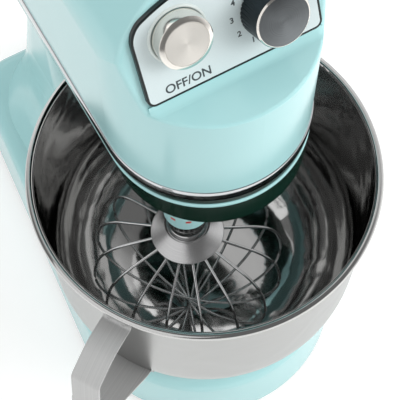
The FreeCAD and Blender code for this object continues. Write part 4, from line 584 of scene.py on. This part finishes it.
def printed(name, words, x, v, size, face):
    """Ink of the words, centred at a place on the panel, standing a hair above the face."""
    text = bpy.data.curves.new(name + "_text", "FONT")
    text.body = words
    text.size = size * MM
    text.align_x = "CENTER"
    text.align_y = "CENTER"
    text.extrude = INK_MM * MM / 2
    text.offset = INK_SPREAD_MM * MM
    seed = bpy.data.objects.new(name + "_seed", text)
    bpy.context.collection.objects.link(seed)
    mesh = bpy.data.meshes.new_from_object(seed.evaluated_get(bpy.context.evaluated_depsgraph_get()))
    bpy.data.objects.remove(seed)
    mesh.transform(on_panel @ Matrix.Translation(Vector((x, v, face)) * MM))
    mesh.materials.clear()
    mesh.materials.append(screen_ink)
    piece = bpy.data.objects.new(name, mesh)
    bpy.context.collection.objects.link(piece)
    return settle(piece, "head", "panel_edge")


WORDS_X_MM = -25.2
WORDS_V_MM = 7.6
WORDS_SIZE_MM = 6.7
DIAL_X_MM = 20.8
DIAL_V_MM = 26.5
DIAL_SHIFT_MM = (-1.2, 1.1)
DIAL_RADIUS_MM = 17.6
DIAL_SIZE_MM = 4.2
DIAL_FIRST_DEG = 239.0
DIAL_STEP_DEG = 29.5
DIAL_NUMBERS = 8

printed("switch_words", "OFF/ON", WORDS_X_MM, WORDS_V_MM, WORDS_SIZE_MM, PLATE_FACE_MM)
for number in range(1, DIAL_NUMBERS + 1):
    angle = math.radians(DIAL_FIRST_DEG - DIAL_STEP_DEG * (number - 1))
    number_x = DIAL_X_MM + DIAL_SHIFT_MM[0] + DIAL_RADIUS_MM * math.cos(angle)
    number_v = DIAL_V_MM + DIAL_SHIFT_MM[1] + DIAL_RADIUS_MM * math.sin(angle)
    printed("dial_number_%d" % number, str(number), number_x, number_v, DIAL_SIZE_MM, PLATE_FACE_MM)


# Push button: a tall turned aluminium cap with a broad chamfer and a spun face, in a low bezel.
# The lathe tool leaves rings that spread each light into a fan from the centre.

BUTTON_LIGHT = "#F1EEE8"
BUTTON_DARK = "#DAD6CF"
BEZEL_LIGHT = "#D3DBD8"
BEZEL_DARK = "#C4CECB"
FACE_LINE_MM = 0.5
BUTTON_X_MM = -24.7
BUTTON_V_MM = 34.1
BEZEL_PROFILE_MM = [(15.0, 2.5), (14.9, 2.7), (14.6, 3.0), (14.3, 3.25), (14.1, 3.3), (13.7, 3.25),
                    (13.5, 3.1), (13.5, 2.5)]
CAP_PROFILE_MM = [(0.0, 11.55), (13.3, 11.55), (13.4, 11.45), (13.4, 3.6), (13.3, 3.5), (0.0, 3.5)]
FACE_PROFILE_MM = [(0.0, 12.6), (10.7, 12.6), (10.8, 12.45), (11.0, 12.45), (11.1, 12.6), (11.3, 12.55),
                   (13.2, 11.75), (13.4, 11.6), (13.4, 11.55), (0.0, 11.55)]
FACE_CHAMFER = (4, 5, 6, 7)
LATHE_SEGMENTS = 128
LATHE_CREASE_DEG = 30.0


def lathe_turned(name, light, dark, roughness, anisotropy):
    """Lathe-turned metal: rings round the axis, read from the piece's own map, that fan out each light."""
    finish, tree = new_finish(name)
    around = add_node(tree, "ShaderNodeTangent", direction_type="UV_MAP", uv_map="turning")
    chart = add_node(tree, "ShaderNodeUVMap", uv_map="turning")
    radius = add_node(tree, "ShaderNodeSeparateXYZ", {"Vector": chart.outputs["UV"]})
    rings = add_node(tree, "ShaderNodeTexNoise", {
        "W": radius.outputs["Y"], "Scale": per_mm(FACE_LINE_MM), "Detail": 3.0}, noise_dimensions="1D")
    tone = add_node(tree, "ShaderNodeMix", {0: rings.outputs["Fac"], 6: linear(light), 7: linear(dark)},
                    data_type="RGBA")
    shader = add_node(tree, "ShaderNodeBsdfPrincipled", {
        "Base Color": tone.outputs[2], "Metallic": 1.0, "Roughness": roughness, "Anisotropic": anisotropy,
        "Tangent": around.outputs["Tangent"]})
    add_node(tree, "ShaderNodeOutputMaterial", {"Surface": shader.outputs["BSDF"]})
    return finish


def lathe(name, profile, place, finishes, edges=(), crease=LATHE_CREASE_DEG):
    """Closed turned piece from (radius, height) points in millimetres, with a map of angle and length."""
    count = len(profile)
    points = []
    rows = []
    for radius, height in profile:
        if radius == 0.0:
            rows.append([len(points)] * LATHE_SEGMENTS)
            points.append((0.0, 0.0, height))
            continue
        rows.append(list(range(len(points), len(points) + LATHE_SEGMENTS)))
        for step in range(LATHE_SEGMENTS):
            angle = 2.0 * math.pi * step / LATHE_SEGMENTS
            points.append((radius * math.cos(angle), radius * math.sin(angle), height))
    lengths = [0.0]
    for (r0, h0), (r1, h1) in zip(profile, profile[1:]):
        lengths.append(lengths[-1] + math.hypot(r1 - r0, h1 - h0) * MM)
    faces = []
    charts = []
    finish_of = []
    closed = profile[0][0] > 0.0
    for i in range(count if closed else count - 1):
        j = (i + 1) % count
        for step in range(LATHE_SEGMENTS):
            after = (step + 1) % LATHE_SEGMENTS
            ring = [(rows[i][step], step, i), (rows[i][after], step + 1, i),
                    (rows[j][after], step + 1, j), (rows[j][step], step, j)]
            face = []
            for vertex, turn, row in ring:
                if vertex not in [used[0] for used in face]:
                    face.append((vertex, turn, row))
            faces.append(tuple(used[0] for used in face))
            charts.extend((turn / LATHE_SEGMENTS, lengths[row]) for _, turn, row in face)
            finish_of.append(1 if i in edges else 0)
    mesh = bpy.data.meshes.new(name)
    mesh.from_pydata([Vector(point) * MM for point in points], [], faces)
    chart = mesh.uv_layers.new(name="turning")
    for loop, value in zip(chart.data, charts):
        loop.uv = value
    for finish in finishes:
        mesh.materials.append(finish)
    for face, index in zip(mesh.polygons, finish_of):
        face.material_index = index
    mesh.transform(place)
    mesh.shade_smooth()
    mesh.set_sharp_from_angle(angle=math.radians(crease))
    piece = bpy.data.objects.new(name, mesh)
    bpy.context.collection.objects.link(piece)
    return piece


spun_aluminium = lathe_turned("spun_aluminium_face", BUTTON_LIGHT, BUTTON_DARK,
                              roughness=0.26, anisotropy=0.75)
turned_aluminium = lathe_turned("turned_aluminium_side", BUTTON_LIGHT, BUTTON_DARK,
                                roughness=0.16, anisotropy=0.3)
bezel_aluminium = moulded("bead_blasted_anodised_bezel", BEZEL_LIGHT, BEZEL_DARK, BEAD_BLAST_MM,
                          roughness=0.22)
at_button = on_panel @ Matrix.Translation(Vector((BUTTON_X_MM, BUTTON_V_MM, 0.0)) * MM)
bezel = lathe("button_bezel_ring", BEZEL_PROFILE_MM, at_button, [bezel_aluminium])
settle(bezel, "head", "button_metal", "button_bezel")
cap = lathe("button_side", CAP_PROFILE_MM, at_button, [turned_aluminium])
settle(cap, "button", "button_metal", "button_cap")
face = lathe("button_spun_face", FACE_PROFILE_MM, at_button, [spun_aluminium, turned_aluminium],
             edges=FACE_CHAMFER)
settle(face, "button", "button_metal", "button_face")
dress(black_nylon, "button_plunger", "switch_module")


# Speed knob: turned aluminium, hard-anodised dark, with milled ribs on its skirt and a spun face.
# The diamond-cut chamfer round the face is bare metal and shows as one bright line.

KNOB_LIGHT = "#3A4145"
KNOB_DARK = "#262C30"
NICKEL_LIGHT = "#7C8082"
NICKEL_DARK = "#676B6E"
KNOB_LINE_MM = 0.6
DIAL_PROFILE_MM = [(0.0, 18.0), (13.0, 18.0), (13.25, 17.95), (13.95, 17.25), (13.9, 17.2), (0.0, 17.2)]
DIAL_CHAMFER = (1, 2, 3)

hard_anodised = worked_metal("hard_anodised_dark_aluminium", KNOB_LIGHT, KNOB_DARK, KNOB_LINE_MM,
                             roughness=0.38, stretch=EVEN_STRETCH)
spun_nickel = lathe_turned("spun_black_nickel", NICKEL_LIGHT, NICKEL_DARK, roughness=0.3, anisotropy=0.8)
at_knob = on_panel @ Matrix.Translation(Vector((DIAL_X_MM, DIAL_V_MM, 0.0)) * MM)
dress(hard_anodised, "speed_knob")
dial = lathe("knob_spun_face", DIAL_PROFILE_MM, at_knob, [spun_nickel, turned_aluminium], edges=DIAL_CHAMFER)
settle(dial, "knob", "button_metal", "knob_face")
dress(turned_steel, "knob_spindle", "speed_potentiometer")


# Drive inside the head: cast chassis and gearbox, steel gears and shafts, a belt and a brushed motor.
# None of it shows from outside, but each piece keeps the finish of its own metal or moulding.

CAST_LIGHT = "#A9ABAD"
CAST_DARK = "#8C8F92"
CAST_SKIN_MM = 1.4
COPPER_LIGHT = "#C27A4C"
COPPER_DARK = "#9A5A34"
WINDING_MM = 0.8
FERRITE = "#2A2B2E"
FERRITE_WORN = "#36373A"
FERRITE_MM = 0.9
MASK_GREEN = "#0F5A33"
MASK_DARK = "#0B4527"
TRACK_MM = 1.8
WINDING_STRETCH = (1.0, 1.0, 0.2)

die_cast = worked_metal("die_cast_aluminium", CAST_LIGHT, CAST_DARK, CAST_SKIN_MM,
                        roughness=0.5, stretch=EVEN_STRETCH)
wound_copper = worked_metal("wound_copper", COPPER_LIGHT, COPPER_DARK, WINDING_MM,
                            roughness=0.35, stretch=WINDING_STRETCH)
ferrite = moulded("sintered_ferrite", FERRITE, FERRITE_WORN, FERRITE_MM, roughness=0.6)
solder_mask = moulded("solder_mask_board", MASK_GREEN, MASK_DARK, TRACK_MM, roughness=0.35)
dress(die_cast, "chassis_plate", "hinge_arm", "gearbox_housing", "belt_pulley", "motor_pulley", "motor_cap")
dress(turned_steel, "chassis_screws", "motor_pillars", "motor_can", "motor_shaft", "motor_bearings",
      "main_shaft", "main_bearings", "ring_gear", "planet_gear", "output_shaft", "drive_pin")
dress(wound_copper, "armature", "commutator")
dress(ferrite, "motor_magnets", "brushes")
dress(black_nylon, "cooling_fan", "brush_holder")
dress(nitrile_rubber, "drive_belt")
dress(solder_mask, "control_board")
dress(sintered_bronze, "output_bushes")


# Planet carrier: a die-cast disc with the output boss, enamelled aqua like the shells.
# Two short red marks stand on the boss, drawn as thin red strips round it.

MARK_RED = "#C23A36"
MARK_HEIGHT_MM = 2.0
MARK_THICK_MM = 0.12
MARK_DEG = 13.0
MARK_Z_MM = 243.8
MARK_ANGLES = (207.0, 246.0)
MARK_STEPS = 6
MARK_CORNERS = 4
WHISK_X_MM = -25.896
WHISK_Y_MM = -25.008
BOSS_RADIUS_MM = 13.6

dress(aqua_enamel, "carrier_hub")
red_mark_finish = moulded("red_boss_mark_finish", MARK_RED, MARK_RED, BEAD_BLAST_MM, roughness=0.4)
for number, middle in enumerate(MARK_ANGLES):
    mark_points = []
    for step in range(MARK_STEPS + 1):
        angle = math.radians(middle + MARK_DEG * (step / MARK_STEPS - 0.5))
        for reach in (BOSS_RADIUS_MM - MARK_THICK_MM, BOSS_RADIUS_MM + MARK_THICK_MM):
            mark_x = WHISK_X_MM + reach * math.cos(angle)
            mark_y = WHISK_Y_MM + reach * math.sin(angle)
            for rise in (-MARK_HEIGHT_MM / 2, MARK_HEIGHT_MM / 2):
                mark_points.append((mark_x, mark_y, MARK_Z_MM + rise))
    mark_faces = [(0, 2, 3, 1)]
    for step in range(MARK_STEPS):
        a = MARK_CORNERS * step
        b = a + MARK_CORNERS
        mark_faces += [(a, a + 1, b + 1, b), (a + 2, b + 2, b + 3, a + 3), (a, b, b + 2, a + 2),
                       (a + 1, a + 3, b + 3, b + 1)]
    end = MARK_CORNERS * MARK_STEPS
    mark_faces.append((end, end + 1, end + 3, end + 2))
    mark = mesh_piece("boss_mark_%d" % (number + 1), mark_points, mark_faces, red_mark_finish)
    settle(mark, "carrier", "aqua_paint")


# Whisk: a neck and cone collar turned from stainless bar, with loops of hard-drawn wire set in the collar.
# The collar is left with its turning rings; the wire is bright and smooth.

COLLAR_LIGHT = "#CDCDCD"
COLLAR_DARK = "#ADADAE"
WIRE_LIGHT = "#DCDCDC"
WIRE_DARK = "#C2C3C4"
DRAW_MM = 3.0
WIRE_MM = 1.8
WIRE_LOOPS = 8
WIRE_STEPS = 14
WIRE_SLOPE = math.radians(15.3)
WIRE_RUN_MM = 23.6
WIRE_SHOULDER_MM = 24.0
WIRE_DEPTH_MM = 112.5
WIRE_DEPTH_STEP_MM = 2.5
WIRE_ROOT_MM = 16.5
WIRE_ROOT_Z_MM = 199.5
WIRE_FLANK = math.radians(73.0)
WIRE_TURN = math.radians(145.0)
WIRE_PHASE_DEG = 137.3
WIRE_STRETCH = (1.0, 1.0, 0.3)
NECK_PROFILE_MM = [(6.6, 213.6), (11.0, 213.6), (11.0, 215.6), (10.3, 216.1), (10.3, 217.2), (11.2, 217.7),
                   (11.4, 218.2), (11.4, 222.6), (11.2, 223.0), (10.3, 223.4), (10.3, 224.6), (11.7, 225.2),
                   (12.1, 225.7), (12.1, 231.0), (11.7, 231.5), (6.6, 231.5)]
COLLAR_PROFILE_MM = [(6.6, 197.0), (19.6, 197.0), (20.0, 197.4), (20.0, 201.2), (21.3, 201.5), (21.9, 202.0),
                     (22.0, 202.4), (21.7, 202.8), (20.9, 203.1), (13.6, 211.9), (13.1, 212.3), (12.7, 213.2),
                     (12.3, 213.6), (6.6, 213.6)]
COLLAR_CREASE_DEG = 35.0

turned_collar = lathe_turned("turned_stainless_collar", COLLAR_LIGHT, COLLAR_DARK,
                             roughness=0.24, anisotropy=0.75)
turned_neck = lathe_turned("turned_stainless_neck", COLLAR_LIGHT, COLLAR_DARK, roughness=0.16, anisotropy=0.2)
at_whisk = Matrix.Translation(Vector((WHISK_X_MM, WHISK_Y_MM, 0.0)) * MM)
neck = lathe("whisk_turned_neck", NECK_PROFILE_MM, at_whisk, [turned_neck])
settle(neck, "whisk", "spun_steel", "whisk_neck")
collar = lathe("whisk_turned_collar", COLLAR_PROFILE_MM, at_whisk, [turned_collar], crease=COLLAR_CREASE_DEG)
settle(collar, "whisk", "spun_steel", "whisk_collar")


def wire_loop(depth, turn):
    """Points of one loop: straight spoke, tight shoulder, long flank and round bottom, then back up."""
    r1 = WIRE_ROOT_MM + WIRE_RUN_MM * math.cos(WIRE_SLOPE)
    z1 = -WIRE_RUN_MM * math.sin(WIRE_SLOPE)
    r2 = r1 + WIRE_SHOULDER_MM * (math.sin(WIRE_FLANK) - math.sin(WIRE_SLOPE))
    z2 = z1 + WIRE_SHOULDER_MM * (math.cos(WIRE_FLANK) - math.cos(WIRE_SLOPE))
    bottom = (1.0 + math.cos(WIRE_TURN)) / math.sin(WIRE_TURN)
    inward = math.sin(WIRE_FLANK) - math.sin(WIRE_TURN)
    fall = math.cos(WIRE_FLANK) - math.cos(WIRE_TURN)
    flank = (depth + z2 - r2 * bottom) / (fall - inward * bottom)
    base = (r2 - flank * inward) / math.sin(WIRE_TURN)
    half = [(WIRE_ROOT_MM, 0.0)]
    r = r1
    z = z1
    for radius, start, end in ((WIRE_SHOULDER_MM, WIRE_SLOPE, WIRE_FLANK), (flank, WIRE_FLANK, WIRE_TURN),
                               (base, WIRE_TURN, math.pi)):
        for step in range(WIRE_STEPS):
            angle = start + (end - start) * step / WIRE_STEPS
            half.append((r + radius * (math.sin(angle) - math.sin(start)),
                         z + radius * (math.cos(angle) - math.cos(start))))
        r += radius * (math.sin(end) - math.sin(start))
        z += radius * (math.cos(end) - math.cos(start))
    both = half + [(0.0, -depth)] + [(-r, z) for r, z in reversed(half)]
    east = math.cos(turn)
    north = math.sin(turn)
    return [(WHISK_X_MM + r * east, WHISK_Y_MM + r * north, WIRE_ROOT_Z_MM + z) for r, z in both]


drawn_wire = worked_metal("hard_drawn_stainless_wire", WIRE_LIGHT, WIRE_DARK, DRAW_MM,
                          roughness=0.16, stretch=WIRE_STRETCH)
loops = []
for number in range(WIRE_LOOPS):
    turn = math.radians(WIRE_PHASE_DEG - number * 180.0 / WIRE_LOOPS)
    loops.append(wire_loop(WIRE_DEPTH_MM + number * WIRE_DEPTH_STEP_MM, turn))
wires = bar_along("whisk_wire_loops", loops, False, WIRE_MM, WIRE_MM, WIRE_MM / 2, drawn_wire)
settle(wires, "whisk", "wire_steel", "whisk_wires")


# Studio: a plain white floor and room, soft lamps on three sides and the camera of the photograph.
# The floor is lifted to white for the camera and in polished metal only, so it adds nothing to the lamps.
# In reflections the room falls off to one side, which gives polished metal a bright half and a dark half.

FLOOR_WHITE = "#E0E0DF"
FLOOR_HALF_M = 3.0
ROOM_LIGHT = 0.55
SWEEP_WAY = (0.62, 0.72, -0.65)
SWEEP_STARTS = -0.35
SWEEP_FULL = 0.35
DARK_LEVEL = 0.2
FLOOR_GLOW = 0.4
LAMPS = [("key_lamp", (1.0, -0.8, 0.95), 1.2, 13.5, False),
         ("glint_lamp", (1.0, -0.8, 0.95), 0.5, 4.0, True),
         ("side_lamp", (-1.1, -0.35, 0.95), 1.8, 8.5, True),
         ("back_lamp", (0.1, 1.0, 1.25), 1.8, 4.0, True)]
AIM_M = (0.0, 0.03, 0.25)
CAMERA_M = (-0.1604, -0.2834, 0.8607)
CAMERA_AZIMUTH = math.radians(-29.02)
CAMERA_ELEVATION = math.radians(64.70)
CAMERA_ROLL = math.radians(-0.41)
CAMERA_LENS = 108.0
SENSOR_MM = 36.0

plain_floor, floor_tree = new_finish("matt_white_floor")
floor_ray = add_node(floor_tree, "ShaderNodeLightPath")
floor_seen = add_node(floor_tree, "ShaderNodeMath", {
    0: floor_ray.outputs["Is Camera Ray"], 1: floor_ray.outputs["Is Glossy Ray"]}, operation="MAXIMUM")
floor_shown = add_node(floor_tree, "ShaderNodeMath", {
    0: floor_seen.outputs["Value"], 1: floor_ray.outputs["Is Transmission Ray"]}, operation="MAXIMUM")
floor_lift = add_node(floor_tree, "ShaderNodeMath", {
    0: floor_shown.outputs["Value"], 1: FLOOR_GLOW}, operation="MULTIPLY")
floor_matt = add_node(floor_tree, "ShaderNodeBsdfDiffuse", {"Color": linear(FLOOR_WHITE)})
floor_glow = add_node(floor_tree, "ShaderNodeEmission", {"Strength": floor_lift.outputs["Value"]})
floor_both = add_node(floor_tree, "ShaderNodeAddShader", {0: floor_matt.outputs["BSDF"],
                                                          1: floor_glow.outputs["Emission"]})
add_node(floor_tree, "ShaderNodeOutputMaterial", {"Surface": floor_both.outputs["Shader"]})
floor_mesh = bpy.data.meshes.new("studio_floor")
floor_corners = [(-FLOOR_HALF_M, -FLOOR_HALF_M, 0.0), (FLOOR_HALF_M, -FLOOR_HALF_M, 0.0),
                 (FLOOR_HALF_M, FLOOR_HALF_M, 0.0), (-FLOOR_HALF_M, FLOOR_HALF_M, 0.0)]
floor_mesh.from_pydata(floor_corners, [], [(0, 1, 2, 3)])
floor_mesh.materials.append(plain_floor)
floor = bpy.data.objects.new("studio_floor", floor_mesh)
bpy.context.collection.objects.link(floor)

room = bpy.data.worlds.new("white_room")
room.use_nodes = True
room_tree = room.node_tree
room_tree.nodes.clear()
room_ray = add_node(room_tree, "ShaderNodeLightPath")
room_shown = add_node(room_tree, "ShaderNodeMath", {
    0: room_ray.outputs["Is Camera Ray"], 1: room_ray.outputs["Is Transmission Ray"]}, operation="MAXIMUM")
room_base = add_node(room_tree, "ShaderNodeMapRange", {
    "Value": room_shown.outputs["Value"], "To Min": ROOM_LIGHT, "To Max": 1.0})
room_way = add_node(room_tree, "ShaderNodeTexCoord")
room_side = add_node(room_tree, "ShaderNodeVectorMath", {0: room_way.outputs["Generated"], 1: SWEEP_WAY},
                     operation="DOT_PRODUCT")
room_sweep = add_node(room_tree, "ShaderNodeMapRange", {
    "Value": room_side.outputs["Value"], "From Min": SWEEP_STARTS, "From Max": SWEEP_FULL,
    "To Min": DARK_LEVEL, "To Max": 1.0}, interpolation_type="SMOOTHSTEP")
room_level = add_node(room_tree, "ShaderNodeMix", {0: room_ray.outputs["Is Glossy Ray"],
                                                   2: room_base.outputs["Result"],
                                                   3: room_sweep.outputs["Result"]}, data_type="FLOAT")
room_glow = add_node(room_tree, "ShaderNodeBackground", {"Color": (1.0, 1.0, 1.0, 1.0),
                                                         "Strength": room_level.outputs[0]})
add_node(room_tree, "ShaderNodeOutputWorld", {"Surface": room_glow.outputs["Background"]})
bpy.context.scene.world = room

for name, place, size, power, mirrored in LAMPS:
    light = bpy.data.lights.new(name, "AREA")
    light.size = size
    light.energy = power
    lamp = bpy.data.objects.new(name, light)
    lamp.location = place
    lamp.visible_glossy = mirrored
    lamp.rotation_euler = (Vector(place) - Vector(AIM_M)).to_track_quat("Z", "Y").to_euler()
    bpy.context.collection.objects.link(lamp)

back = Vector((math.sin(CAMERA_AZIMUTH) * math.cos(CAMERA_ELEVATION),
               -math.cos(CAMERA_AZIMUTH) * math.cos(CAMERA_ELEVATION), math.sin(CAMERA_ELEVATION)))
right = Vector((0.0, 0.0, 1.0)).cross(back).normalized()
upward = back.cross(right)
turn = Matrix((right, upward, back)).transposed().to_4x4() @ Matrix.Rotation(CAMERA_ROLL, 4, "Z")
lens = bpy.data.cameras.new("photo_camera")
lens.lens = CAMERA_LENS
lens.sensor_width = SENSOR_MM
camera = bpy.data.objects.new("photo_camera", lens)
camera.matrix_world = Matrix.Translation(CAMERA_M) @ turn
bpy.context.collection.objects.link(camera)
bpy.context.scene.camera = camera
bpy.context.scene.view_settings.view_transform = "Standard"
